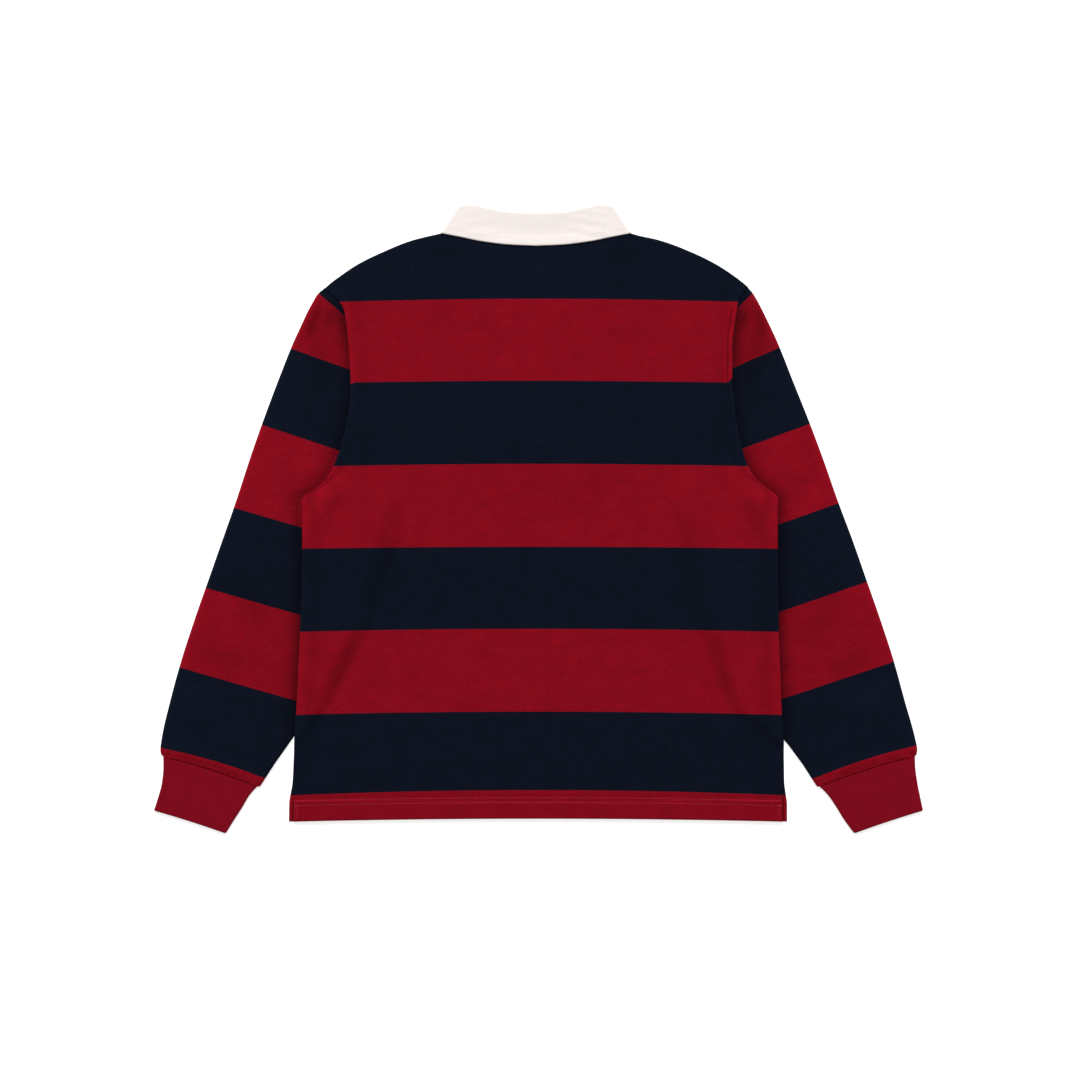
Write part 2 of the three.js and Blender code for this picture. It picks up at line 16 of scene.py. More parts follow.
import bpy
import numpy as np
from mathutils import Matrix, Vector

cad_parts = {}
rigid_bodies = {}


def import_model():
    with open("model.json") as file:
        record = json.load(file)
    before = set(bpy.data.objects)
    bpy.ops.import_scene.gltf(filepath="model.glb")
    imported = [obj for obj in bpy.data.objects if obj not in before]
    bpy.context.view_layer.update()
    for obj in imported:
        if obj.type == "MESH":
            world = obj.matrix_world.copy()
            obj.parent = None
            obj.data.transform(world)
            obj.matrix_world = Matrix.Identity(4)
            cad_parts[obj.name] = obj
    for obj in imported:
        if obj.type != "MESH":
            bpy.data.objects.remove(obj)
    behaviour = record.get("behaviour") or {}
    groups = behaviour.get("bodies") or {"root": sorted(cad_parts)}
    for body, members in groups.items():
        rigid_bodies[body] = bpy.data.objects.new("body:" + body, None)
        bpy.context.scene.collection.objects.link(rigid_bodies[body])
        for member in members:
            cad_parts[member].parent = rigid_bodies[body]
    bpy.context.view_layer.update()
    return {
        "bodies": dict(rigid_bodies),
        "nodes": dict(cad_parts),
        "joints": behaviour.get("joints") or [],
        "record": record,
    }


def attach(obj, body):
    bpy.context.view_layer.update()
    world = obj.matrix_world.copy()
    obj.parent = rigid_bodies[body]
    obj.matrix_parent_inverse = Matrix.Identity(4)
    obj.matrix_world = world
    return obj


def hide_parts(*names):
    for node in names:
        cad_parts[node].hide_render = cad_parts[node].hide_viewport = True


LOG = logging.getLogger("rugby_shirt")

BODY = "root"
METRES_PER_MM = 0.001

# Cloth walls and gaps, as in the solids
JERSEY = 1.2
HEM_WALL = 2.0
TWILL = 1.4
RIB = 1.5
SEAM_GAP = 0.3
PANEL_GAP = 0.36
NECK_EASE = 0.5
CENTRE_LEAN = -3.0
PLACKET_HALF = 16.5
PLACKET_WALL = 1.2
PLACKET_FOOT_SHARE = 0.7369
NECK_SPACE = 3.1
COLLAR_HEIGHT = 4 * TWILL + 2 * SEAM_GAP + NECK_SPACE
NECK_LEVEL = COLLAR_HEIGHT - 2 * TWILL - SEAM_GAP
SLEEVE_STACK = 2 * JERSEY + 2 * SEAM_GAP

# How many crossing waves make a ripple
RIPPLE_WAVES = 14

Array = np.ndarray


class Side(Enum):
    """The two sides as seen from above."""

    LEFT = "left"
    RIGHT = "right"

    @property
    def sign(self) -> int:
        """-1 on the left and 1 on the right."""
        return -1 if self is Side.LEFT else 1

    @property
    def column(self) -> int:
        """The side's column in the tables that hold both sides."""
        return 1 if self is Side.LEFT else 2


class Slot(Enum):
    """The record's material slots."""

    BODY_JERSEY = "jersey_body"
    SLEEVE_JERSEY = "jersey_sleeve"
    RIB = "rib"
    TWILL = "twill"
    RUBBER = "button_rubber"


def linear(hex_colour: str) -> tuple[float, float, float, float]:
    """Turns an sRGB hex colour to linear.

    Args:
        hex_colour: six hex digits, such as "83101f".

    Returns:
        Red, green, blue and an alpha of one.
    """
    shares = [int(hex_colour[place:place + 2], 16) / 255 for place in (0, 2, 4)]
    red, green, blue = [
        share / 12.92 if share <= 0.04045 else ((share + 0.055) / 1.055) ** 2.4 for share in shares
    ]
    return red, green, blue, 1.0


# Interpolation and fields


def ease(values: Array | float, low: float, high: float) -> Array:
    """Smooth step from 0 at low to 1 at high.

    Args:
        values: where it is read.
        low: where it leaves 0.
        high: where it reaches 1.

    Returns:
        The step at each value.
    """
    share = np.clip((np.asarray(values, float) - low) / (high - low), 0, 1)
    return share * share * (3 - 2 * share)


def bell(values: Array, middle: Array | float, width: float) -> Array:
    """1 at the middle, falling smoothly to 1/e at the width on both sides of it."""
    return np.exp(-(((values - middle) / width) ** 2))


def rounded(distance: Array, radius: float) -> Array:
    """Quarter-round profile from 0 at an edge to 1 at its radius inside it."""
    share = np.clip(distance / radius, 0, 1)
    return np.sqrt(np.clip(1 - (1 - share) ** 2, 0, 1))


def column(table: Sequence[Sequence[float]], number: int) -> list[float]:
    """One column of a table."""
    return [row[number] for row in table]


def smooth_through(keys: Sequence[float], levels: Sequence[float], at: Array | float) -> Array:
    """Monotone cubic curve through a table, flat beyond its ends.

    Args:
        keys: the table's keys, rising.
        levels: the value at each key.
        at: where the curve is read.

    Returns:
        The curve's value at each place.
    """
    x = np.asarray(keys, float)
    y = np.asarray(levels, float)
    steps = np.diff(x)
    slopes = np.diff(y) / steps
    tangents = np.zeros_like(y)
    tangents[0], tangents[-1] = slopes[0], slopes[-1]
    before, after = slopes[:-1], slopes[1:]
    same_way = before * after > 0
    w_before = 2 * steps[1:] + steps[:-1]
    w_after = steps[1:] + 2 * steps[:-1]
    safe_before = np.where(same_way, before, 1)
    safe_after = np.where(same_way, after, 1)
    mean = (w_before + w_after) / (w_before / safe_before + w_after / safe_after)
    tangents[1:-1] = np.where(same_way, mean, 0)
    places = np.clip(np.asarray(at, float), x[0], x[-1])
    cell = np.clip(np.searchsorted(x, places, side="right") - 1, 0, len(x) - 2)
    t = (places - x[cell]) / steps[cell]
    rise = y[cell + 1] - y[cell]
    return (
        y[cell]
        + rise * t * t * (3 - 2 * t)
        + steps[cell] * t * (1 - t) * (tangents[cell] * (1 - t) - tangents[cell + 1] * t)
    )


def distance_outside(outline: Sequence[Sequence[float]], x: Array, y: Array) -> Array:
    """Distance from points to a closed outline, 0 inside it.

    Args:
        outline: the outline's corners.
        x: the points' x.
        y: the points' y.

    Returns:
        The distance of each point.
    """
    corners = np.asarray(outline, float)
    inside = np.zeros(np.shape(x), bool)
    nearest = np.full(np.shape(x), np.inf)
    for (ax, ay), (bx, by) in zip(corners, np.roll(corners, -1, axis=0)):
        height = by - ay if abs(by - ay) > 1e-9 else 1e-9
        crosses = ((ay > y) != (by > y)) & (x < ax + (y - ay) / height * (bx - ax))
        inside ^= crosses
        nearest = np.minimum(nearest, distance_to_run((ax, ay), (bx, by), x, y)[0])
    return np.where(inside, 0, nearest)


def distance_to_run(
    start: Sequence[float], end: Sequence[float], x: Array, y: Array
) -> tuple[Array, Array]:
    """Distance from points to a straight run.

    Args:
        start: the run's first point.
        end: its last point.
        x: the points' x.
        y: the points' y.

    Returns:
        The distance, and how far along the run the nearest place is, from 0 to 1.
    """
    dx, dy = end[0] - start[0], end[1] - start[1]
    share = np.clip(((x - start[0]) * dx + (y - start[1]) * dy) / (dx * dx + dy * dy), 0, 1)
    return np.hypot(start[0] + share * dx - x, start[1] + share * dy - y), share


@dataclass(frozen=True)
class Lift:
    """A place below a panel that lifts it, fading out round its outline."""

    outline: tuple[tuple[float, float], ...]
    flat: float
    end: float

    def at(self, x: Array, y: Array) -> Array:
        """1 over the outline and 0 from its end outward."""
        return 1 - ease(distance_outside(self.outline, x, y), self.flat, self.end)


@dataclass(frozen=True)
class Fold:
    """A soft ridge or, with a height below zero, a soft trough along a line of points."""

    path: tuple[tuple[float, float], ...]
    width: float
    height: float
    fade: float = 0.35
    least: float = 0.06

    def at(self, x: Array, y: Array) -> Array:
        """Height of the fold at each point.

        Args:
            x: the points' x.
            y: the points' y.

        Returns:
            The height, which fades towards the fold's ends.
        """
        runs = list(zip(self.path[:-1], self.path[1:]))
        lengths = np.array([math.dist(a, b) for a, b in runs])
        before = np.concatenate([[0], np.cumsum(lengths)])
        nearest = np.full(np.shape(x), np.inf)
        along = np.zeros(np.shape(x))
        for number, (start, end) in enumerate(runs):
            away, share = distance_to_run(start, end, x, y)
            closer = away < nearest
            nearest = np.where(closer, away, nearest)
            along = np.where(closer, (before[number] + share * lengths[number]) / before[-1], along)
        ends = ease(along, 0, self.fade) * ease(1 - along, 0, self.fade)
        return self.height * bell(nearest, 0, self.width) * (self.least + (1 - self.least) * ends)


def folds_at(folds: Sequence[Fold], x: Array, y: Array) -> Array:
    """Sum of several folds' heights."""
    return sum((fold.at(x, y) for fold in folds), np.zeros(np.shape(x)))


def ripple(x: Array, y: Array, seed: int, wavelength: float) -> Array:
    """Soft uneven relief of about unit height, from waves that cross at random.

    Args:
        x: the points' x.
        y: the points' y.
        seed: the seed of its waves.
        wavelength: the middle wavelength.

    Returns:
        The relief at each point.
    """
    rng = np.random.default_rng(seed)
    total = np.zeros(np.shape(x))
    for _ in range(RIPPLE_WAVES):
        turn = rng.uniform(0, 2 * math.pi)
        length = wavelength * rng.uniform(0.6, 1.7)
        phase = rng.uniform(0, 2 * math.pi)
        total = total + np.sin((x * math.cos(turn) + y * math.sin(turn)) * 2 * math.pi / length + phase)
    return total / math.sqrt(RIPPLE_WAVES)


def clustered(count: int, ends: float) -> Array:
    """Shares from 0 to 1 that lie closer together at both ends.

    Args:
        count: how many shares there are.
        ends: how much closer, from 0 for even to nearly 1.

    Returns:
        The shares.
    """
    even = np.linspace(0, 1, count)
    return even - ends * np.sin(2 * math.pi * even) / (2 * math.pi)


# Meshes


@dataclass
class Wall:
    """A closed cloth wall between two grids of points, its faces outside and its backs inside.

    A ring joins its last column to its first, and cells that are open are left out.
    """

    faces: Array
    backs: Array
    ring: bool = False
    is_open: Array | None = None

    def there(self) -> Array:
        """Which cells have cloth."""
        whole = np.ones((len(self.faces) - 1, self.faces.shape[1] - (0 if self.ring else 1)), bool)
        return whole if self.is_open is None else ~self.is_open

    def mesh(self, name: str, fields: dict[str, tuple[Array, Array]] | None = None) -> bpy.types.Object:
        """Makes the wall's mesh object, with a value at each point for each field.

        Args:
            name: the object's name.
            fields: for each field's name, its grid on the faces and its grid on the backs.

        Returns:
            The object.
        """
        rows, columns = self.faces.shape[:2]
        there = self.there()
        row, cell = np.nonzero(there)
        nxt = (cell + 1) % columns
        # Point numbers of each cell's corners, on its face (f) and on its back (b)
        cell_corners = [(row, cell), (row, nxt), (row + 1, nxt), (row + 1, cell)]
        fa, fb, fc, fd = [at_row * columns + at_column for at_row, at_column in cell_corners]
        ba, bb, bc, bd = [number + rows * columns for number in (fa, fb, fc, fd)]
        padded = np.pad(there, ((1, 1), (0, 0)))
        below, above = padded[:-2][there], padded[2:][there]
        sides = np.pad(there, ((0, 0), (1, 1)), mode="wrap" if self.ring else "constant")
        left, right = sides[:, :-2][there], sides[:, 2:][there]
        quads = [
            np.stack([fa, fb, fc, fd], 1),
            np.stack([ba, bd, bc, bb], 1),
            np.stack([fb, fa, ba, bb], 1)[~below],
            np.stack([fd, fc, bc, bd], 1)[~above],
            np.stack([fa, fd, bd, ba], 1)[~left],
            np.stack([fc, fb, bb, bc], 1)[~right],
        ]
        quads = np.concatenate(quads)
        points = np.concatenate([self.faces.reshape(-1, 3), self.backs.reshape(-1, 3)])
        used, quads = np.unique(quads, return_inverse=True)
        quads = quads.reshape(-1, 4)
        made = mesh_object(name, points[used], quads)
        for key, (on_faces, on_backs) in (fields or {}).items():
            both = np.concatenate([np.ravel(on_faces), np.ravel(on_backs)])[used]
            layer = made.data.attributes.new(key, "FLOAT", "POINT")
            layer.data.foreach_set("value", both.astype(np.float32))
        return made


def mesh_object(name: str, points: Array, quads: Array) -> bpy.types.Object:
    """Makes a smooth mesh object from points in millimetres, turned so that its faces look outward.

    Args:
        name: the object's name.
        points: an array of n by 3.
        quads: an array of m by 3 or 4 point numbers.

    Returns:
        The object, linked to the scene.
    """
    corners = points[quads]
    middle = points.mean(0)
    normals = np.cross(corners[:, 2] - corners[:, 0], corners[:, -1] - corners[:, 1])
    volume = np.einsum("ij,ij->", corners.mean(1) - middle, normals)
    if volume < 0:
        quads = quads[:, ::-1]
    mesh = bpy.data.meshes.new(name)
    mesh.vertices.add(len(points))
    mesh.vertices.foreach_set("co", (points * METRES_PER_MM).astype(np.float32).ravel())
    count, sides = quads.shape
    mesh.loops.add(count * sides)
    mesh.loops.foreach_set("vertex_index", quads.astype(np.int32).ravel())
    mesh.polygons.add(count)
    mesh.polygons.foreach_set("loop_start", np.arange(0, count * sides, sides, dtype=np.int32))
    mesh.polygons.foreach_set("use_smooth", np.ones(count, bool))
    mesh.update(calc_edges=True)
    made = bpy.data.objects.new(name, mesh)
    bpy.context.scene.collection.objects.link(made)
    return made


def place(
    made: bpy.types.Object, material: bpy.types.Material, slot: Slot, *nodes: str
) -> bpy.types.Object:
    """Dresses a piece, ties it to the shirt's body and hides the solids that it stands for.

    Args:
        made: the piece.
        material: its material.
        slot: the record's slot of its finish; not used.
        nodes: the solids that it replaces.

    Returns:
        The piece.
    """
    made.data.materials.append(material)
    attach(made, BODY)
    if nodes:
        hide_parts(*nodes)
    LOG.info("%s: %d faces", made.name, len(made.data.polygons))
    return made


# Finishes


Source = bpy.types.NodeSocket

# Settings of the sums that the finishes share
MULTIPLY_ADD = {"operation": "MULTIPLY_ADD"}
MULTIPLY = {"operation": "MULTIPLY"}


def add_node(
    tree: bpy.types.NodeTree,
    kind: str,
    settings: dict[str, object] | None = None,
    inputs: dict[str | int, object] | None = None,
) -> bpy.types.Node:
    """Adds a node with its settings and links.

    Args:
        tree: the material's node tree.
        kind: the node's type name, without its leading "ShaderNode".
        settings: its properties by name.
        inputs: for each input's name or number, a value or the socket that is linked to it.

    Returns:
        The node.
    """
    node = tree.nodes.new("ShaderNode" + kind)
    for name, value in (settings or {}).items():
        setattr(node, name, value)
    for name, value in (inputs or {}).items():
        socket = node.inputs[name]
        if isinstance(value, bpy.types.NodeSocket):
            tree.links.new(value, socket)
        else:
            socket.default_value = value
    return node


@dataclass(frozen=True)
class Grain:
    """Uneven relief and tone from noise, its cell sizes along X and Y in millimetres."""

    across: float
    along: float
    detail: float = 2.0

    def socket(self, tree: bpy.types.NodeTree, coordinates: Source) -> Source:
        """Adds the noise.

        Args:
            tree: the material's node tree.
            coordinates: the socket of the coordinates in metres.

        Returns:
            The socket of its value, near 0.5 on average.
        """
        scale = [1000 / size for size in (self.across, self.along, max(self.across, self.along))]
        stretched = add_node(tree, "Mapping", None, {"Vector": coordinates, "Scale": scale}).outputs[0]
        inputs = {"Vector": stretched, "Scale": 1.0, "Detail": self.detail}
        return add_node(tree, "TexNoise", None, inputs).outputs["Fac"]


@dataclass(frozen=True)
class SoftFinish:
    """What every finish here shares: a soft matte face with a fine relief, and on cloth a fibre sheen."""

    title: str
    roughness: float
    sheen: float
    relief: float
    ior: float = 1.5
    gloss: float = 0.02
    sheen_roughness: float = 0.6

    def start(self) -> tuple[bpy.types.Material, bpy.types.NodeTree, Source]:
        """Makes an empty material.

        Returns:
            The material, its node tree and the socket of the coordinates in metres.
        """
        material = bpy.data.materials.new(self.title)
        material.use_nodes = True
        tree = material.node_tree
        tree.nodes.clear()
        return material, tree, add_node(tree, "TexCoord").outputs["Object"]

    def end(
        self,
        tree: bpy.types.NodeTree,
        colour: Source | tuple[float, ...],
        level: Source,
        height: Source,
        depth: float,
        lint: Source | None = None,
    ) -> None:
        """Adds the shader and the output.

        Args:
            tree: the material's tree.
            colour: the dyed colour, or the socket that gives it.
            level: the socket that gives how light the cloth is, near 1.
            height: the socket that gives the relief, from 0 to 1.
            depth: how deep the relief is, in millimetres.
            lint: the socket that gives what pale loose fibres add to the colour.
        """
        inputs = {0: colour, "Scale": level}
        colour = add_node(tree, "VectorMath", {"operation": "SCALE"}, inputs).outputs[0]
        if lint is not None:
            colour = add_node(tree, "VectorMath", {"operation": "ADD"}, {0: colour, 1: lint}).outputs[0]
        inputs = {"Strength": self.relief, "Distance": depth * METRES_PER_MM, "Height": height}
        bump = add_node(tree, "Bump", None, inputs)
        inputs = {
            "Base Color": colour,
            "Roughness": self.roughness,
            "IOR": self.ior,
            "Specular IOR Level": self.gloss,
            "Sheen Weight": self.sheen,
            "Sheen Roughness": self.sheen_roughness,
            "Normal": bump.outputs[0],
        }
        shader = add_node(tree, "BsdfPrincipled", None, inputs)
        add_node(tree, "OutputMaterial", None, {"Surface": shader.outputs[0]})


@dataclass(frozen=True)
class HoopedJersey(SoftFinish):
    """Cotton jersey, yarn dyed and knitted in hoops: matte, with a faint fuzz and faint cross streaks.

    A point's hoop value counts the hoops from the top, so even counts are navy and odd ones crimson.
    Its painted-shade value darkens the colour in proportion, as painted shade in creases and beside other
    pieces; below 0 it lightens it, as painted light on rolled rims and ridges.
    """

    navy: str = "0a101e"
    crimson: str = "810718"
    painted_shade_depth: float = 0.42
    lint: float = 0.006
    least_fibre: float = 0.42
    ragged: float = 0.004

    def build(self) -> bpy.types.Material:
        """Makes the material.

        Returns:
            The material.
        """
        material, tree, coordinates = self.start()
        hoop, painted_shade = (
            add_node(tree, "Attribute", {"attribute_name": name}).outputs["Fac"]
            for name in ("hoop", "painted_shade")
        )
        # Real courses are 0.8 mm apart; the grain is drawn at 2.2 mm, so that it shows at all.
        grains = Grain(2.2, 1.5, 3.0), Grain(16.0, 2.6), Grain(26.0, 19.0, 3.0), Grain(1.5, 1.5)
        grain, streak, shade, fibre = (each.socket(tree, coordinates) for each in grains)
        # A hoop's edge follows the loops of one course.
        ragged = add_node(tree, "Math", MULTIPLY_ADD, {0: grain, 1: self.ragged, 2: hoop}).outputs[0]
        half = add_node(tree, "Math", MULTIPLY, {0: ragged, 1: 0.5}).outputs[0]
        part = add_node(tree, "Math", {"operation": "FRACT"}, {0: half}).outputs[0]
        is_crimson = add_node(tree, "Math", {"operation": "GREATER_THAN"}, {0: part, 1: 0.5}).outputs[0]
        inputs = {0: is_crimson, 6: linear(self.navy), 7: linear(self.crimson)}
        dyed = add_node(tree, "Mix", {"data_type": "RGBA"}, inputs).outputs[2]
        tone = add_node(tree, "Math", MULTIPLY_ADD, {0: streak, 1: 0.38, 2: grain}).outputs[0]
        tone = add_node(tree, "Math", MULTIPLY_ADD, {0: shade, 1: 0.55, 2: tone}).outputs[0]
        inputs = {"Value": tone, "From Min": 0.4, "From Max": 1.6, "To Min": 0.63, "To Max": 1.37}
        even = add_node(tree, "MapRange", None, inputs).outputs[0]
        # Painted shade: the colour darkens by the shade value times its depth, and lightens, as painted
        # light, where that value is below 0.
        painted_shading = add_node(tree, "Math", MULTIPLY_ADD, {0: painted_shade, 1: -self.painted_shade_depth, 2: 1.0}).outputs[0]
        level = add_node(tree, "Math", MULTIPLY, {0: even, 1: painted_shading}).outputs[0]
        # Loose fibre ends are paler than the dyed cloth, whatever its hoop.
        inputs = {0: fibre, 1: self.lint, 2: -self.least_fibre * self.lint}
        lint = add_node(tree, "Math", MULTIPLY_ADD, inputs).outputs[0]
        height = add_node(tree, "Math", MULTIPLY_ADD, {0: streak, 1: 0.5, 2: grain}).outputs[0]
        self.end(tree, dyed, level, height, 0.5, lint)
        return material


@dataclass(frozen=True)
class RibKnit(SoftFinish):
    """Cotton rib knit: the ribs are in the mesh, and the finish adds their loops and painted shade in the
    grooves.
    """

    crimson: str = "7d081b"

    def build(self) -> bpy.types.Material:
        """Makes the material.

        Returns:
            The material.
        """
        material, tree, coordinates = self.start()
        groove = add_node(tree, "Attribute", {"attribute_name": "groove"}).outputs["Fac"]
        # Real loops are 0.8 mm apart; they are drawn at 1.5 mm, so that they show at all.
        grain = Grain(1.5, 1.5).socket(tree, coordinates)
        mottle = Grain(16.0, 11.0, 3.0).socket(tree, coordinates)
        # Painted shade: the grooves between the ribs are darkened, and the ribs a little lightened.
        inputs = {"Value": groove, "From Min": 0.0, "From Max": 1.0, "To Min": 1.06, "To Max": 0.78}
        groove_shade = add_node(tree, "MapRange", None, inputs).outputs[0]
        tone = add_node(tree, "Math", MULTIPLY_ADD, {0: grain, 1: 0.3, 2: 0.72}).outputs[0]
        tone = add_node(tree, "Math", MULTIPLY_ADD, {0: mottle, 1: 0.26, 2: tone}).outputs[0]
        level = add_node(tree, "Math", MULTIPLY, {0: groove_shade, 1: tone}).outputs[0]
        self.end(tree, linear(self.crimson)[:3], level, grain, 0.4)
        return material


@dataclass(frozen=True)
class CottonTwill(SoftFinish):
    """Cotton twill, woven and undyed: an even cream face with a fine slanting wale."""

    cream: str = "ece3df"
    wale: float = 3.2
    slant: float = 58.0

    def build(self) -> bpy.types.Material:
        """Makes the material.

        Returns:
            The material.
        """
        material, tree, coordinates = self.start()
        # Real wales are 0.6 mm apart; they are drawn at 3.2 mm, so that they show close by.
        inputs = {"Vector": coordinates, "Rotation": (0.0, 0.0, math.radians(self.slant))}
        turned = add_node(tree, "Mapping", None, inputs).outputs[0]
        settings = {"wave_type": "BANDS", "bands_direction": "X"}
        # The wave texture draws a band each pi/10 of its unit.
        scale = 1000 / self.wale * math.pi / 10
        inputs = {"Vector": turned, "Scale": scale, "Distortion": 0.6, "Detail": 1.0}
        wale = add_node(tree, "TexWave", settings, inputs).outputs["Fac"]
        grain = Grain(1.6, 1.6).socket(tree, coordinates)
        slub = Grain(24.0, 3.0).socket(tree, coordinates)
        tone = add_node(tree, "Math", {"operation": "ADD"}, {0: slub, 1: grain}).outputs[0]
        inputs = {"Value": tone, "From Min": 0.5, "From Max": 1.5, "To Min": 0.965, "To Max": 1.02}
        level = add_node(tree, "MapRange", None, inputs).outputs[0]
        height = add_node(tree, "Math", MULTIPLY_ADD, {0: wale, 1: 0.12, 2: grain}).outputs[0]
        self.end(tree, linear(self.cream)[:3], level, height, 0.3)
        return material


@dataclass(frozen=True)
class PlainFinish(SoftFinish):
    """One colour with a mottling of its own, its grain in millimetres."""

    colour: str = "a8283e"
    grain: float = 0.5
    detail: float = 1.0
    darkest: float = 0.85
    spread: float = 0.3
    depth: float = 0.1

    def build(self) -> bpy.types.Material:
        """Makes the material.

        Returns:
            The material.
        """
        material, tree, coordinates = self.start()
        mottle = Grain(self.grain, self.grain, self.detail).socket(tree, coordinates)
        inputs = {0: mottle, 1: self.spread, 2: self.darkest}
        level = add_node(tree, "Math", MULTIPLY_ADD, inputs).outputs[0]
        self.end(tree, linear(self.colour)[:3], level, mottle, self.depth)
        return material


@dataclass(frozen=True)
class SewingThread(PlainFinish):
    """Spun polyester thread: slightly brighter than the cloth, with a mottling as fine as its twist."""


@dataclass(frozen=True)
class MouldedRubber(PlainFinish):
    """Moulded rubber for the buttons: satin and off-white, with a faint flow mottling."""

    colour: str = "e9e4da"
    grain: float = 3.0
    detail: float = 2.0
    darkest: float = 0.95
    spread: float = 0.08
    depth: float = 0.05


class Wardrobe:
    """All the finishes, made once and shared by the pieces."""

    def __init__(self) -> None:
        """Makes the finishes."""
        self.jersey = HoopedJersey("cotton jersey", roughness=0.92, sheen=0.01, relief=0.4).build()
        self.rib = RibKnit("rib knit", roughness=0.92, sheen=0.02, relief=0.4).build()
        self.twill = CottonTwill("cotton twill", roughness=0.85, sheen=0.05, relief=0.3).build()
        spun = {"roughness": 0.6, "sheen": 0.04, "relief": 0.4}
        self.crimson_thread = SewingThread("crimson thread", **spun).build()
        self.cream_thread = SewingThread("cream thread", **spun, colour="efe4dc").build()
        self.rubber = MouldedRubber("moulded rubber", roughness=0.5, sheen=0.0, relief=0.2).build()


# The body


# y, left and right of the body's side edges, and how far the front panel shows past the back one
SIDE_EDGES = (
    (-363.3, -294.6, 293.4, 5.4),
    (-339.3, -294.6, 293.6, 5.0),
    (-337.8, -294.6, 293.6, 4.8),
    (-315, -294.4, 294.2, 1.2),
    (-291, -294, 294.6, 0.4),
    (-267, -293.4, 294.6, 0),
    (-231, -291, 292.2, 0),
    (-198, -289.4, 291, 0),
    (-165, -287.8, 289.8, 0),
    (-133, -286.2, 288.6, 0),
    (-100, -285.4, 288.2, 0),
    (-67, -284.6, 287.8, 0),
    (-34, -283.8, 287.4, 0),
    (8, -283.8, 287.4, 0),
    (20, -283, 287, 0),
    (28, -280.2, 284, 0),
    (34, -270.6, 276.6, 0),
    (46, -256.2, 262.2, 0),
    (62, -246.6, 251.4, 0),
    (87, -237.2, 243, 0),
    (110, -231.4, 238, 0),
    (137, -226.4, 234.8, 0),
    (165, -225, 231.8, 0),
    (181, -225.6, 232.2, 0),
    (208, -227.4, 232.2, 0),
    (239, -230.6, 236, 0),
    (250, -232.4, 237.6, 0),
    (259, -236, 239, 0),
    (268, -244.8, 243.6, 0),
    (279, -256.4, 250.6, 0),
)

# x, and y of the back and front necklines and of the shoulders
TOP_EDGES = (
    (-256.4, 277.6, 277.6),
    (-248.2, 284.8, 284.8),
    (-239.4, 291.4, 291.4),
    (-217.8, 305.9, 305.9),
    (-187.8, 320.7, 320.7),
    (-150.6, 335.1, 335.1),
    (-124.2, 341.4, 341.4),
    (-114.4, 343.4, 343.4),
    (-106, 344.2, 344.2),
    (-92, 347, 347),
    (-88, 348, 330),
    (-75, 348.5, 300),
    (-50, 346.5, 272),
    (-19.5, 345, 258),
    (13.5, 345, 258),
    (44, 346.5, 272),
    (70, 348.5, 300),
    (82, 348, 330),
    (86, 347, 347),
    (102, 344.2, 344.2),
    (110, 343.2, 343.2),
    (118, 341, 341),
    (144.6, 335.1, 335.1),
    (184.2, 320.7, 320.7),
    (214.2, 305.9, 305.9),
    (237, 290.9, 290.9),
    (246, 283.8, 283.8),
    (250.6, 279.8, 279.8),
)

# Share down the sleeve from the armpit, left, right and y of its edge under the body
TUCKED_EDGE = (
    (0, -284.1, 287.7, 8),
    (0.1, -230, 232, -5),
    (0.2, -176, 181, -18),
    (0.26, -187, 184, -46),
    (0.33, -200, 189, -75),
    (0.43, -211, 198, -116),
    (0.53, -228, 212, -152),
    (0.64, -246, 225, -187),
    (0.76, -269, 247, -226),
    (0.88, -298, 297, -267),
    (0.94, -317, 317, -294),
    (1, -335.3, 335.3, -322.4),
)

# Middle height of each hoop's edge on the body, and how far it drops at the sides
BODY_HOOPS = (
    (264.3, 4.8),
    (165.9, 3.0),
    (66.3, 3.6),
    (-33.3, 2.4),
    (-131.7, 3.6),
    (-231.3, 3.6),
    (-325.5, 6.0),
)

HEM_CORNER_Y = -363.3
HEM_MID_Y = -359.7
SHOULDER_Y = 279.0
ARMPIT_Y = 8.0
PANEL_LENGTH = 690.0

# y where the hem's two layers end in one
HEM_TURN = (-340.5, -336.5)

# First and last y of each run of a panel's rows, and how many rows it has
PANEL_ROWS = (
    (HEM_CORNER_Y, -360, 6), (-358.5, -344, 9), (-343.3, -326.5, 26), (-323, 2, 68),
    (6, 62, 22), (66, 266, 48), (268.5, SHOULDER_Y, 8),
)

# Depth of a hoop beyond the first and last edges, and the half width that the hoops' sag is read at
HOOP_DEPTH = 100.0
HOOP_SAG_HALF = 290.0
ALMOST_ONE = 0.999


def side_x(side: Side, y: Array | float) -> Array:
    """x of the body's side edge at each y."""
    return smooth_through(column(SIDE_EDGES, 0), column(SIDE_EDGES, side.column), y)


def v_at(y: Array | float) -> Array | float:
    """How far up a panel's side y is, from 0 at the hem's corner to 1 at the shoulder."""
    return (y - HEM_CORNER_Y) / (SHOULDER_Y - HEM_CORNER_Y)


def tucked_edge(side: Side, shares: Array) -> tuple[Array, Array]:
    """x and y of a sleeve's edge under the body, at shares of its way down from the armpit."""
    keys = column(TUCKED_EDGE, 0)
    return tuple(np.interp(shares, keys, column(TUCKED_EDGE, at)) for at in (side.column, 3))


def tucked_outline(side: Side) -> tuple[tuple[float, float], ...]:
    """The tucked sleeve's edge as a closed outline.

    Args:
        side: the sleeve's side.

    Returns:
        The outline, which starts above the tuck and ends under the body's side.
    """
    shares = np.linspace(0.2, 0.9, 60)
    xs, ys = tucked_edge(side, shares)
    above_tuck = ((232.0, 92.0), (204.0, 96.0), (184.0, 66.0), (173.0, 22.0))
    start = tuple((side.sign * x, y) for x, y in above_tuck)
    far = side.sign * 420.0
    return start + tuple(zip(xs.tolist(), ys.tolist())) + ((far, -380.0), (far, 92.0))


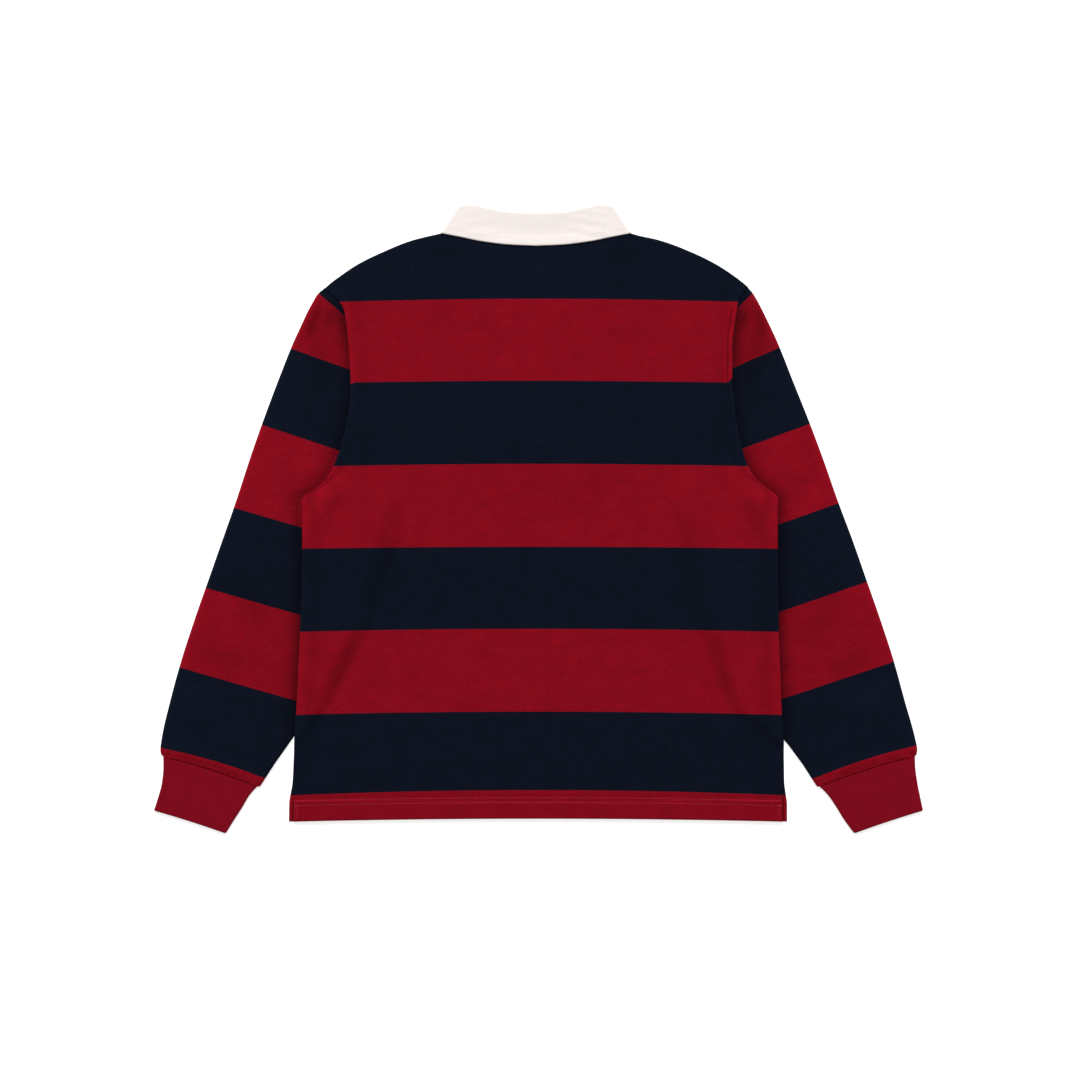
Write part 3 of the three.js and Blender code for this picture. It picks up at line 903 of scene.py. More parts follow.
LEAF_OUTLINE = ((112, 345), (108, 303), (99, 263), (86, 238), (67, 220), (18, 282), (60, 345))
NECK_OUTLINE = (
    (-92, 380), (-92, 330), (-22, 245), (-22, 96), (16, 96), (16, 245), (88, 330), (88, 380),
)
OVER_SLEEVE = {side: Lift(tucked_outline(side), 1.0, 15.0) for side in Side}
OVER_LEAF = Lift(LEAF_OUTLINE, 4.0, 30.0)
AT_NECK = Lift(NECK_OUTLINE, 6.0, 150.0)


def over_sleeves(x: Array, y: Array) -> Array:
    """1 over the tucked part of either sleeve, and 0 away from it."""
    return np.where(x < 0, OVER_SLEEVE[Side.LEFT].at(x, y), OVER_SLEEVE[Side.RIGHT].at(x, y))


def front_lift(x: Array, y: Array) -> Array:
    """How far the front panel lies above the floor.

    Args:
        x: the points' x.
        y: the points' y.

    Returns:
        Its height over the tucked sleeves and the collar's leaves, and 0 elsewhere.
    """
    leaf = OVER_LEAF.at(np.abs(x - CENTRE_LEAN), y)
    inward = np.where(x < 0, x - side_x(Side.LEFT, y), side_x(Side.RIGHT, y) - x)
    inner = 1 - ease(y, ARMPIT_Y, ARMPIT_Y + 96)
    at_edge = 1 - ease(y, ARMPIT_Y - 16, ARMPIT_Y + 4)
    raised = at_edge + (inner - at_edge) * ease(inward, 2, 42)
    return np.maximum(SLEEVE_STACK * raised * over_sleeves(x, y), (TWILL + SEAM_GAP) * leaf)


def hoops_between(edges: Sequence[Array], y: Array) -> Array:
    """Hoops counted downward, whole at each hoop's edge.

    Args:
        edges: the hoops' edges from the top down, each a height at every point.
        y: the points' y.

    Returns:
        The count at each point.
    """
    above = np.clip(1 - (y - edges[0]) / HOOP_DEPTH, 0, ALMOST_ONE) * (y > edges[0])
    for number, (upper, lower) in enumerate(zip(edges[:-1], edges[1:])):
        inside = (y <= upper) & (y > lower)
        above = above + inside * (number + 1 + (upper - y) / (upper - lower))
    below = np.minimum(ALMOST_ONE, (edges[-1] - y) / HOOP_DEPTH)
    return above + (y <= edges[-1]) * (len(edges) + below)


def body_hoop(x: Array, y: Array) -> Array:
    """Hoops counted from the top of the body, whole at each hoop's edge."""
    return hoops_between([middle - drop * (x / HOOP_SAG_HALF) ** 2 for middle, drop in BODY_HOOPS], y)


@dataclass(frozen=True)
class Spot:
    """Points of a body panel: where they lie, and how far in from its edges they are."""

    x: Array
    y: Array
    side: Array
    hem: Array
    top: Array
    up: Array


@dataclass
class BodyPanel:
    """A body panel: hooped jersey with a turned hem at its foot.

    u runs from its left side to its right one, and v from its hem to its shoulders.
    """

    name: str = "back_panel"
    node: str = "back"
    show_past: float = 0.0
    side_columns: int = 15
    side_band: float = 16.0
    middle_columns: int = 62
    slot_columns: int = 6
    least_edge: float = 0.3
    armhole_lap: float = 0.0
    hem_roll: float = 1.8
    top_roll: float = 2.4

    def sides(self, v: Array) -> tuple[Array, Array]:
        """x of the panel's edges.

        Args:
            v: how far up the panel.

        Returns:
            x of the left and of the right edge.
        """
        y = HEM_CORNER_Y + v * (SHOULDER_Y - HEM_CORNER_Y)
        out = smooth_through(column(SIDE_EDGES, 0), column(SIDE_EDGES, 3), y) * self.show_past
        curved = 1.6 * bell(y, ARMPIT_Y + 24, 13)
        out = out + self.armhole_lap * (ease(y, ARMPIT_Y - 2, ARMPIT_Y + 16) + curved)
        return side_x(Side.LEFT, y) - out, side_x(Side.RIGHT, y) + out

    def top_y(self, x: Array) -> Array:
        """y of the panel's top edge."""
        return smooth_through(column(TOP_EDGES, 0), column(TOP_EDGES, 2 if self.show_past else 1), x)

    def hem_y(self, u: Array) -> Array:
        """y of the panel's hem."""
        return HEM_MID_Y + (HEM_CORNER_Y - HEM_MID_Y) * (2 * u - 1) ** 2

    def spot(self, u: Array, v: Array) -> Spot:
        """Points of the panel.

        Args:
            u: how far across it they are.
            v: how far up it they are.

        Returns:
            The points.
        """
        left, right = self.sides(v)
        top_left, top_right = self.sides(np.ones_like(v))
        hem = self.hem_y(u)
        y = hem + (self.top_y(top_left + (top_right - top_left) * u) - hem) * v
        side = np.minimum(u, 1 - u) * (right - left)
        return Spot(left + (right - left) * u, y, side, v * PANEL_LENGTH, (1 - v) * PANEL_LENGTH, y - hem)

    def floor(self, at: Spot, wall: Array) -> Array:
        """Height of the panel's underside, given the cloth's thickness."""
        return front_lift(at.x, at.y)

    def relief(self, at: Spot) -> Array:
        """Height that creases add to the panel."""
        return np.zeros(np.shape(at.x))

    def face_cut(self, at: Spot) -> Array:
        """Depth that a groove takes from the face alone."""
        return np.zeros(np.shape(at.x))

    def hoop(self, at: Spot) -> Array:
        """Hoops counted from the top of the panel."""
        return body_hoop(at.x, at.y)

    def painted_shade(self, at: Spot) -> Array:
        """How much shade is painted into the panel's colour, for the finish: none here."""
        return np.zeros(np.shape(at.x))

    def opening(self, v: Array, columns: int) -> Array | None:
        """Cells that are left out of the panel."""
        return None

    def heights(self, at: Spot) -> tuple[Array, Array]:
        """Heights of the panel.

        Args:
            at: the points.

        Returns:
            The height of the underside and of the face.
        """
        wall = JERSEY + (HEM_WALL - JERSEY) * (1 - ease(at.y, *HEM_TURN))
        low = self.floor(at, wall) + self.relief(at)
        side_roll = 3.4 - 1.9 * ease(at.y, ARMPIT_Y - 10, ARMPIT_Y + 30)
        rolls = ((at.side, side_roll), (at.hem, self.hem_roll), (at.top, self.top_roll))
        roll = np.minimum.reduce([rounded(distance, radius) for distance, radius in rolls])
        high = low + wall * (self.least_edge + (1 - self.least_edge) * roll)
        return low, high - self.face_cut(at)

    def on_face(self, u: Array, v: Array, rise: float = 0.0) -> Array:
        """Points on the panel's face, n by 3."""
        at = self.spot(u, v)
        return np.stack([at.x, at.y, self.heights(at)[1] + rise], -1)

    def columns(self, v: Array) -> Array:
        """Where the columns lie, with one on each side of the placket's slot.

        Args:
            v: how far up the panel each row is.

        Returns:
            u of each column, row by row.
        """
        left, right = self.sides(v)
        width = (right - left)[:, None]
        band = np.linspace(0, self.side_band, self.side_columns)[None, :] / width
        slot_left, slot_right = (
            (CENTRE_LEAN + half - left)[:, None] / width for half in (-PLACKET_HALF, PLACKET_HALF)
        )
        inner = np.linspace(0, 1, self.middle_columns + 1)[None, 1:]
        slot = np.linspace(0, 1, self.slot_columns + 1)[None, 1:]
        start = band[:, -1:]
        first = start + (slot_left - start) * inner
        middle = slot_left + (slot_right - slot_left) * slot
        last = slot_right + (1 - start - slot_right) * inner
        return np.concatenate([band, first, middle, last, 1 - band[:, ::-1][:, 1:]], 1)

    def build(self, wardrobe: Wardrobe) -> bpy.types.Object:
        """Makes and dresses the panel.

        Args:
            wardrobe: the finishes.

        Returns:
            The panel.
        """
        # Rows lie closer together at the hem, the armpit and the top.
        rows = v_at(np.concatenate([np.linspace(*run) for run in PANEL_ROWS]))
        u = self.columns(rows)
        at = self.spot(u, np.repeat(rows[:, None], u.shape[1], 1))
        faces, backs = (np.stack([at.x, at.y, level], -1) for level in self.heights(at)[::-1])
        wall = Wall(faces, backs, is_open=self.opening(rows, u.shape[1]))
        # The painted shade goes to the finish as a field of its own, beside the hoops.
        fields = {"hoop": (self.hoop(at),) * 2, "painted_shade": (self.painted_shade(at),) * 2}
        return place(wall.mesh(self.name, fields), wardrobe.jersey, Slot.BODY_JERSEY, self.node)


@dataclass
class FrontPanel(BodyPanel):
    """The panel that lies on the floor, with the placket's slot and a low neckline."""

    name: str = "front_panel"
    node: str = "front"
    show_past: float = 1.0
    middle_columns: int = 40

    def past_back(self, at: Spot) -> Array:
        """Distance in from the back panel's edge."""
        return at.side - smooth_through(column(SIDE_EDGES, 0), column(SIDE_EDGES, 3), at.y)

    def face_cut(self, at: Spot) -> Array:
        """Depth of the crease beside the back panel's edge at the vents."""
        return 0.5 * bell(self.past_back(at), -0.5, 1.1) * (1 - ease(at.y, -330, -312))

    def painted_shade(self, at: Spot) -> Array:
        """Painted shade: a dark line beside the back panel's edge at the vents, where its shadow falls."""
        return 2.2 * bell(self.past_back(at), 0, 1.3) * (1 - ease(at.y, -338, -332))

    def opening(self, v: Array, columns: int) -> Array | None:
        """Leaves the placket's slot out.

        Args:
            v: how far up the panel each row is.
            columns: how many columns there are.

        Returns:
            Which cells are left out.
        """
        open_cells = np.zeros((len(v) - 1, columns - 1), bool)
        first = self.side_columns - 1 + self.middle_columns
        foot = int(np.argmin(np.abs(v - PLACKET_FOOT_SHARE)))
        open_cells[foot:, first:first + self.slot_columns] = True
        return open_cells


@dataclass
class BackPanel(BodyPanel):
    """The panel that shows: soft creases by the armholes, and seam bulk under the armholes' topstitch."""

    armhole_lap: float = 0.8
    topstitch: float = 5.8
    seam_bulk: float = 0.9
    sleeve_step: float = 1.4
    hem_rows: tuple[float, float] = (19.4, 24.9)
    folds: tuple[Fold, ...] = (
        Fold(((-236, 74), (-250, 26), (-262, -20)), 11, 1.4),
        Fold(((244, 74), (257, 26), (268, -20)), 11, 1.3),
        Fold(((-214, 150), (-206, 105), (-190, 60)), 14, 1.0),
        Fold(((218, 160), (210, 112), (196, 64)), 14, 0.9),
        Fold(((-222, 96), (-240, 40), (-252, -30)), 9, -0.8),
        Fold(((230, 96), (247, 40), (257, -30)), 9, -0.7),
        Fold(((-250, 12), (-236, -60), (-240, -140)), 13, 0.45),
        Fold(((252, 6), (240, -70), (243, -150)), 13, 0.4),
        Fold(((-128, 318), (-110, 296), (-84, 282)), 12, 0.5),
        Fold(((122, 318), (103, 296), (78, 283)), 12, 0.5),
    )
    # Painted shade strokes: above 0 they darken the colour along the tucked sleeves' edges, inside the
    # armholes, under the collar's ends and by the armpits; below 0 they lighten it as painted light.
    painted_shades: tuple[Fold, ...] = (
        Fold(((-196, 131), (-208, 100), (-214, 60), (-222, 17)), 10, 0.3),
        Fold(((204, 136), (212, 104), (219, 60), (226, 14)), 10, 0.26),
        Fold(((-172, 42), (-177, 7), (-188, -46), (-200, -74), (-211, -116)), 9, 0.5),
        Fold(((-211, -116), (-221, -138), (-238, -174), (-266, -224)), 8, 0.62),
        Fold(((178, 20), (181, -20), (185, -66), (196, -111)), 9, 0.42),
        Fold(((196, -111), (215, -152), (225, -192), (246, -226)), 8, 0.58),
        Fold(((-134, 322), (-106, 321), (-82, 328)), 8, 0.5),
        Fold(((74, 321), (104, 318), (136, 317)), 9, 0.5),
        Fold(((84, 333), (104, 336), (124, 335)), 4, 0.4),
        Fold(((-150, 300), (-60, 290), (30, 296)), 26, -0.12),
        Fold(((-240, -40), (-236, -110), (-250, -160)), 16, -0.2),
        Fold(((240, -40), (240, -110), (254, -160)), 16, -0.2),
        Fold(((-257, 48), (-262, 28), (-265, 4)), 5, -0.45),
        Fold(((262, 48), (267, 28), (269, 6)), 5, -0.35),
        Fold(((-228, 38), (-250, 12), (-256, -24)), 8, 0.3),
        Fold(((236, 40), (256, 12), (260, -26)), 8, 0.3),
    )

    def floor(self, at: Spot, wall: Array) -> Array:
        """Height of the panel's underside, over the front panel and the neck."""
        neck = AT_NECK.at(at.x, at.y)
        return np.maximum(front_lift(at.x, at.y) + wall + PANEL_GAP + NECK_EASE * neck, NECK_LEVEL * neck)

    def armhole_line(self, y: Array) -> Array:
        """1 where the armholes' topstitch shows, fading out below the shoulder."""
        return 1 - ease(y, 248, 262)

    def relief(self, at: Spot) -> Array:
        """Height of the folds, the soft rolls inside the side edges and the armholes' seam bulk.

        Args:
            at: the points.

        Returns:
            The height at each point.
        """
        x, y, side, hem = at.x, at.y, at.side, at.hem
        free = ease(side, 4, 26) * ease(hem, 24, 60) * ease(at.top, 6, 40)
        crease = folds_at(self.folds, x, y) + 0.16 * ripple(x, y, 11, 118) + 0.05 * ripple(x, y, 12, 42)
        below = 1 - ease(y, ARMPIT_Y - 14, ARMPIT_Y + 26)
        roll = 0.75 * bell(side, 7, 5.5) - 0.55 * bell(side, 18, 7)
        rim = 0.35 * bell(side, 9, 6) - 0.35 * bell(side, 22, 8)
        bulk = self.seam_bulk * (1 - ease(side, self.topstitch - 0.4, self.topstitch + 3.4))
        high = self.sleeve_step * (1 - ease(y, ARMPIT_Y - 40, ARMPIT_Y + 96))
        step = high * over_sleeves(x, y) * ease(side, 4, 34) * ease(hem, 70, 130)
        dip = 0.3 * bell(side, self.topstitch, 0.9) * self.armhole_line(y)
        return (
            np.maximum(0, crease * free + 0.5 * free)
            + step
            + below * roll * ease(hem, 20, 60)
            + (1 - below) * (rim + bulk - dip)
        )

    def face_cut(self, at: Spot) -> Array:
        """Depth of the grooves that the hem's two rows of stitches pull in.

        Args:
            at: the points.

        Returns:
            The depth at each point.
        """
        lower, upper = self.hem_rows
        between, above = (lower + upper) / 2, upper + 3
        pulls = ((lower, 0.9, 0.06), (upper, 0.9, 0.06), (between, 1.2, 0.04), (above, 1.5, 0.18))
        return sum(depth * bell(at.up, row, width) for row, width, depth in pulls)

    def hoop(self, at: Spot) -> Array:
        """Hoops counted from the top, drawn up in the right armhole's seam and down in the left one's."""
        near = np.clip(1 - at.side / self.topstitch, 0, 1) * bell(at.y, 166, 26)
        return body_hoop(at.x, at.y - np.where(at.x > 0, 5.0, -1.8) * near)

    def painted_shade(self, at: Spot) -> Array:
        """Painted shade for the finish: along the tucked sleeves, inside the armholes, under the collar's
        ends, along the hem's stitches and over its turned band, and along the armholes' seam lines, with
        painted light on the rolled rims.

        Args:
            at: the points.

        Returns:
            The painted shade at each point, below 0 where light is painted instead.
        """
        side, y, up = at.side, at.y, at.up
        lower, upper = self.hem_rows
        armed = ease(y, ARMPIT_Y - 14, ARMPIT_Y + 26)
        rim = 0.2 * bell(side, 15, 7) - 0.4 * bell(side, 0, 5.5)
        flank = (0.3 * bell(side, 17, 8) - 0.15 * bell(side, 0, 6)) * ease(up, 40, 110)
        hem = 0.16 * bell(up, upper + 3.2, 2) + 0.48 * bell(up, (lower + upper) / 2, 1.5)
        turned = 0.14 * (1 - ease(up, upper, upper + 2))
        # The right armhole's seam line is the plainer one: more shade is painted along it.
        line = np.where(at.x > 0, 1.3, 0.2) * bell(side, self.topstitch, 0.8)
        line = line * armed * ease(y, 90, 140) * self.armhole_line(y)
        return folds_at(self.painted_shades, at.x, y) + armed * rim + (1 - armed) * flank + hem + turned + line


# Sleeves and cuffs


# y, left and right of both sleeves' outer edges
SLEEVE_OUTER = (
    (-284.4, -453, 454),
    (-277, -454.4, 455.2),
    (-264.9, -453, 453),
    (-216.9, -442.2, 439.8),
    (-168.9, -429, 426.6),
    (-120.9, -413.4, 411),
    (-72.9, -396.6, 394.2),
    (-24.9, -379.8, 377.4),
    (23.1, -363, 359.4),
    (71.1, -347.4, 342.6),
    (119.1, -330.6, 324.6),
    (167.1, -312.6, 305.4),
    (215.1, -293.4, 286.2),
    (233.1, -285, 277.8),
    (247.5, -278.4, 270.8),
    (261.9, -270.6, 263.4),
    (269.1, -266.4, 259.2),
    (272.7, -263.2, 256.8),
    (277.6, -257.6, 252.4),
    (279.8, -256.6, 251),
)

# y on the sleeve's outer edge and y on the armhole's seam, row by row down to the armpit
ARMHOLE_ROWS = (
    (277.4, 277),
    (273, 270.6),
    (265.5, 261),
    (250.5, 240),
    (230, 208),
    (212, 181),
    (198, 165),
    (175, 137),
    (152, 110),
    (132, 87),
    (110, 62),
    (93, 46),
    (78, 34),
    (66, 28),
    (54, 20),
    (40, 8),
)

# Outer x and y and inner x and y of each cuff, from its seam to its end
CUFF_ROWS = {
    Side.LEFT: (
        (-450.8, -285.5, -338.2, -321.4),
        (-450.9, -300, -347.3, -332),
        (-452.8, -318, -356, -346.5),
        (-457, -334, -366, -362),
        (-462.3, -350.4, -376, -378.3),
    ),
    Side.RIGHT: (
        (452.2, -285.4, 337.9, -321.5),
        (453, -300, 347.6, -331.5),
        (455.6, -318, 357.4, -345.5),
        (458.8, -334, 367.6, -362),
        (462.3, -350.4, 379.6, -378.3),
    ),
}

# Height and slope of each hoop's edge on the sleeves, read at 358.2 from the middle
SLEEVE_HOOPS = {
    Side.LEFT: (
        (351.3, -0.854), (226.4, -0.354), (121.9, -0.333), (11.3, -0.29), (-94.5, -0.286),
        (-198.9, -0.287), (-302.1, -0.292),
    ),
    Side.RIGHT: (
        (372.5, 1.0), (235.5, 0.43), (126.3, 0.367), (18.3, 0.354), (-87.8, 0.345),
        (-194.1, 0.333), (-302.3, 0.323),
    ),
}
HOOP_READ_AT = 358.2
CUFF_LENGTH = 74.0
CUFF_BOW = 3.2
CUFF_END_BOW = 1.4

# How much less shade is painted at the foot of each armhole, and y where each sleeve's painted cap shade
# begins
FOOT_LIGHT = {Side.LEFT: 0.7, Side.RIGHT: 0.0}
CAP_FOOT = {Side.LEFT: 196.0, Side.RIGHT: 174.0}

# How much higher than in the rows above each sleeve's tip reaches
TIP_RISE = {Side.LEFT: 0.0, Side.RIGHT: 2.2}


def sleeve_hoop(side: Side, x: Array, y: Array) -> Array:
    """Hoops counted from the shoulder of a sleeve, whole at each hoop's edge."""
    away = x - side.sign * HOOP_READ_AT
    return hoops_between([middle + slope * away for middle, slope in SLEEVE_HOOPS[side]], y)


def cuff_bow(side: Side, x: Array, y: Array) -> Array:
    """How far each point near the cuff's seam shifts up the arm: the seam bows at its middle.

    Args:
        side: the sleeve's side.
        x: the points' x.
        y: the points' y.

    Returns:
        Each point's shift in x and y.
    """
    outer_x, outer_y, inner_x, inner_y = CUFF_ROWS[side][0]
    width = math.hypot(inner_x - outer_x, inner_y - outer_y)
    along = ((x - outer_x) * (inner_x - outer_x) + (y - outer_y) * (inner_y - outer_y)) / width**2
    up = np.array([-(inner_y - outer_y), inner_x - outer_x]) / width * -side.sign
    away = (x - outer_x) * up[0] + (y - outer_y) * up[1]
    share = np.clip(along, 0, 1)
    amount = CUFF_BOW * bell(away, 0, 32) + CUFF_END_BOW * ease(-away, 24, 72)
    return (amount * 4 * share * (1 - share))[..., None] * up


def soft_corners(outer: Array, inner: Array, radius: float) -> tuple[Array, Array]:
    """Draws both edges of a tube in at its last rows, as the soft corners of a turned end.

    Args:
        outer: the outer edge's points, row by row.
        inner: the inner edge's points.
        radius: the corners' radius.

    Returns:
        Both edges.
    """
    across = inner - outer
    across = across / np.hypot(*across.T)[:, None]
    outer_in, inner_in = (
        across * radius * (1 - rounded(np.hypot(*(edge - edge[-1]).T), radius))[:, None]
        for edge in (outer, inner)
    )
    return outer + outer_in, inner - inner_in


@dataclass
class FlatTube:
    """A flattened tube of cloth, laid in rows that run from its outer edge to its inner one."""

    wall: float = JERSEY
    gap: float = SEAM_GAP
    upper_columns: int = 76
    lower_columns: int = 26
    outer_roll: float = 4.5
    inner_roll: float = 4.5
    raw_edge: float = 1.3
    under_roll: float = 2.4
    least_fold: float = 0.03
    crowding: float = 0.93

    @property
    def middle(self) -> float:
        """Height of the tube's folded edges."""
        return self.wall + self.gap / 2

    def inner_radius(self, row: Array) -> Array:
        """Radius of the inner fold, row by row."""
        return np.full(np.shape(row), self.inner_roll)

    def top(self, x: Array, y: Array, share: Array) -> Array:
        """Height of the upper layer's face, given how far across the tube each point is."""
        return np.full(np.shape(x), 2 * self.wall + self.gap)

    def bottom(self, share: Array) -> Array:
        """Height of the lower layer's face."""
        return np.zeros(np.shape(share))

    def grids(self, outer: Array, inner: Array, parted: Array) -> tuple[Array, Array]:
        """Faces and backs of the tube.

        Args:
            outer: the outer edge's x and y, row by row.
            inner: the inner edge's x and y.
            parted: the rows whose two layers aren't joined at the inner edge.

        Returns:
            The two grids.
        """
        width = np.hypot(*(inner - outer).T)[:, None]
        upper = clustered(self.upper_columns, self.crowding)[None, ::-1]
        lower = clustered(self.lower_columns, self.crowding)[None, :]
        row = np.arange(len(outer))[:, None]
        is_parted = parted[:, None]

        def layer(share: Array, inset: float, is_top: bool) -> Array:
            """One layer's points.

            Args:
                share: how far across the tube its columns are.
                inset: how far in from the tube's face they lie.
                is_top: whether it is the upper layer.

            Returns:
                The points, row by row.
            """
            reach_to = np.where(is_parted, width, width - inset)
            away = inset + (reach_to - inset) * share
            part = away / width
            x = outer[:, :1] + (inner[:, :1] - outer[:, :1]) * part
            y = outer[:, 1:] + (inner[:, 1:] - outer[:, 1:]) * part
            if is_top:
                level = self.top(x, y, part) - inset
                folded = np.maximum(self.least_fold, rounded(reach_to - away, self.inner_radius(row)))
                cut = 0.45 + 0.55 * rounded(width - away, self.raw_edge)
                roll = np.minimum(rounded(away - inset, self.outer_roll), np.where(is_parted, cut, folded))
            else:
                level = self.bottom(part) + inset
                folded = np.maximum(self.least_fold, rounded(reach_to - away, self.under_roll))
                roll = rounded(away - inset, self.under_roll) * np.where(is_parted, 1.0, folded)
            return np.stack([x, y, self.middle + (level - self.middle) * roll], -1)

        def joined(inset: float) -> Array:
            """Both layers' points in one ring, in from the face by the inset."""
            return np.concatenate([layer(upper, inset, True)[:, :-1], layer(lower, inset, False)], 1)

        return joined(0.0), joined(self.wall)


@dataclass
class Sleeve(FlatTube):
    """A sleeve: hooped jersey folded round its outer edge, tucked under the body below the armpit."""

    side: Side = Side.LEFT
    loft: float = 2.9
    armhole_steps: int = 70
    tucked_steps: int = 96
    pucker: float = 1.1
    end_corner: float = 3.2
    folds: dict[Side, tuple[Fold, ...]] = field(default_factory=lambda: {
        Side.LEFT: (
            Fold(((-264, 256), (-270, 236), (-277, 212)), 5.5, -1.1),
            Fold(((-249, 252), (-250, 242), (-252, 228)), 4.5, -1.0),
            Fold(((-276, 226), (-262, 190), (-250, 140)), 12, -0.8),
            Fold(((-300, 120), (-280, 60), (-262, 40)), 15, 0.35),
            Fold(((-352, 40), (-330, 10), (-300, -6)), 15, 0.4),
            Fold(((-360, -60), (-345, -100), (-335, -150)), 18, -0.7),
            Fold(((-430, -190), (-410, -215), (-372, -232)), 14, 0.7),
            Fold(((-418, -140), (-380, -170), (-330, -186)), 16, -0.6),
        ),
        Side.RIGHT: (
            Fold(((260, 254), (266, 234), (272, 210)), 5.5, -0.9),
            Fold(((247, 250), (248, 240), (250, 226)), 4.5, -0.9),
            Fold(((270, 222), (258, 186), (252, 136)), 12, -0.8),
            Fold(((296, 118), (282, 66), (266, 42)), 15, 0.3),
            Fold(((348, 44), (326, 8), (304, -10)), 15, 0.4),
            Fold(((358, -70), (346, -108), (332, -160)), 18, -0.7),
            Fold(((428, -186), (404, -214), (368, -236)), 14, 0.8),
            Fold(((414, -150), (376, -176), (336, -190)), 16, -0.6),
        ),
    })

    def outer_x(self, y: Array) -> Array:
        """x of the outer edge."""
        return smooth_through(column(SLEEVE_OUTER, 0), column(SLEEVE_OUTER, self.side.column), y)

    def edges(self) -> tuple[Array, Array, Array]:
        """Points of both edges, row by row.

        Returns:
            The outer edge, the inner edge, and which rows end at the armhole.
        """
        steps = clustered(self.armhole_steps, 0.3) * (len(ARMHOLE_ROWS) - 1)
        numbers = np.arange(len(ARMHOLE_ROWS))
        outer_y, seam_y = (smooth_through(numbers, column(ARMHOLE_ROWS, at), steps) for at in (0, 1))
        outer_y = outer_y + TIP_RISE[self.side] * (1 - ease(steps, 0, 2.5))
        seam_y = seam_y + TIP_RISE[self.side] * 0.8 * (1 - ease(steps, 0, 1.5))
        seam_x = side_x(self.side, seam_y) + self.side.sign * SEAM_GAP
        shares = np.unique(np.concatenate([
            np.linspace(0, 0.2, 16)[1:],
            np.linspace(0.2, 0.9, self.tucked_steps - 36),
            np.linspace(0.9, 0.985, 18),
            np.linspace(0.985, 1, 10),
        ]))
        low_y = ARMHOLE_ROWS[-1][0] + (SLEEVE_OUTER[0][0] - ARMHOLE_ROWS[-1][0]) * shares
        low_x, inner_y = tucked_edge(self.side, shares)
        all_outer_y = np.concatenate([outer_y, low_y])
        outer = np.stack([self.outer_x(all_outer_y), all_outer_y], 1)
        inner = np.stack([np.concatenate([seam_x, low_x]), np.concatenate([seam_y, inner_y])], 1)
        outer, inner = soft_corners(outer, inner, self.end_corner)
        parted = np.arange(len(outer)) < self.armhole_steps - 1
        return outer, inner, parted

    def in_view(self, x: Array, y: Array) -> Array:
        """Distance out from the body's side edge, 0 under the body."""
        return np.maximum(0, (x - side_x(self.side, y)) * self.side.sign)

    def to_cuff(self, x: Array, y: Array) -> Array:
        """Distance up from the cuff's seam.

        Args:
            x: the points' x.
            y: the points' y.

        Returns:
            The distance of each point.
        """
        start_x, start_y, end_x, end_y = CUFF_ROWS[self.side][0]
        slope = (end_y - start_y) / (end_x - start_x)
        return (y - start_y - slope * (x - start_x)) / math.sqrt(1 + slope * slope)

    def inner_radius(self, row: Array) -> Array:
        """Radius of the inner fold, tight at the armpit."""
        return 0.8 + (self.inner_roll - 0.8) * ease(row, self.armhole_steps, self.armhole_steps + 14)

    def painted_shade(self, x: Array, y: Array) -> Array:
        """Painted shade for the finish: beside the body and on the cap, and dark in the folds' troughs,
        with painted light on their ridges, just above the cuff and on the outer fold's rim.

        Args:
            x: the points' x.
            y: the points' y.

        Returns:
            The painted shade at each point, below 0 where light is painted instead.
        """
        seen, cuff = self.in_view(x, y), self.to_cuff(x, y)
        rim = (self.outer_x(y) - x) * self.side.sign
        past = ease(cuff, 30, 90) * (1 - 0.75 * ease(y, 246, 268))
        foot = bell(seen, 0, 4) * (1 - ease(y, 60, 100)) * ease(y, -30, 10)
        beside = (0.95 * bell(seen, 0, 10) + 0.5 * np.exp(-seen / 16)) * past
        beside = beside * (1 - FOOT_LIGHT[self.side] * foot)
        cap = 0.34 * ease(y, CAP_FOOT[self.side], CAP_FOOT[self.side] + 38)
        creases = -0.55 * folds_at(self.folds[self.side], x, y)
        return beside + cap - 0.2 * bell(cuff, 5, 5) + creases - 0.32 * bell(rim, 0, 6.5)

    def top(self, x: Array, y: Array, share: Array) -> Array:
        """Height of the upper layer's face: lofted where it shows, and flat under the body.

        Args:
            x: the points' x.
            y: the points' y.
            share: how far across the sleeve they are.

        Returns:
            The height at each point.
        """
        cuff = self.to_cuff(x, y)
        free = ease(self.in_view(x, y), 0.5, 24)
        away = share * (1 - share) * 4
        crown = self.loft * free * (0.35 + 0.65 * np.sqrt(np.clip(away, 0, 1)))
        crease = folds_at(self.folds[self.side], x, y) + 0.22 * ripple(x, y, 21, 95)
        # The pucker's waves run along the cuff's seam.
        run = x * 0.953 + self.side.sign * 0.303 * y
        waves = np.sin(run * 2 * math.pi / 8.6 + 1.4 * np.sin(run / 17)) * 0.6 + ripple(x, y, 23, 15) * 0.4
        gather = self.pucker * waves * np.exp(-np.maximum(cuff, 0) / 11) * ease(cuff, -0.2, 2.5)
        swell = 1.1 * bell(cuff, 8, 7.5)
        fade = 0.4 + 0.6 * ease(cuff, 0, 14)
        lifted = (crown + crease * free * ease(away, 0.05, 0.4)) * fade + (swell + gather) * free
        return 2 * self.wall + self.gap + np.maximum(0, lifted)

    def build(self, wardrobe: Wardrobe) -> bpy.types.Object:
        """Makes and dresses the sleeve.

        Args:
            wardrobe: the finishes.

        Returns:
            The sleeve.
        """
        outer, inner, parted = self.edges()
        faces, backs = self.grids(outer, inner, parted)
        rows, columns = faces.shape[:2]
        is_open = np.zeros((rows - 1, columns), bool)
        is_open[parted[:-1], -1] = True
        wall = Wall(faces, backs, ring=True, is_open=is_open)
        plans = [(grid[..., 0], grid[..., 1]) for grid in (faces, backs)]
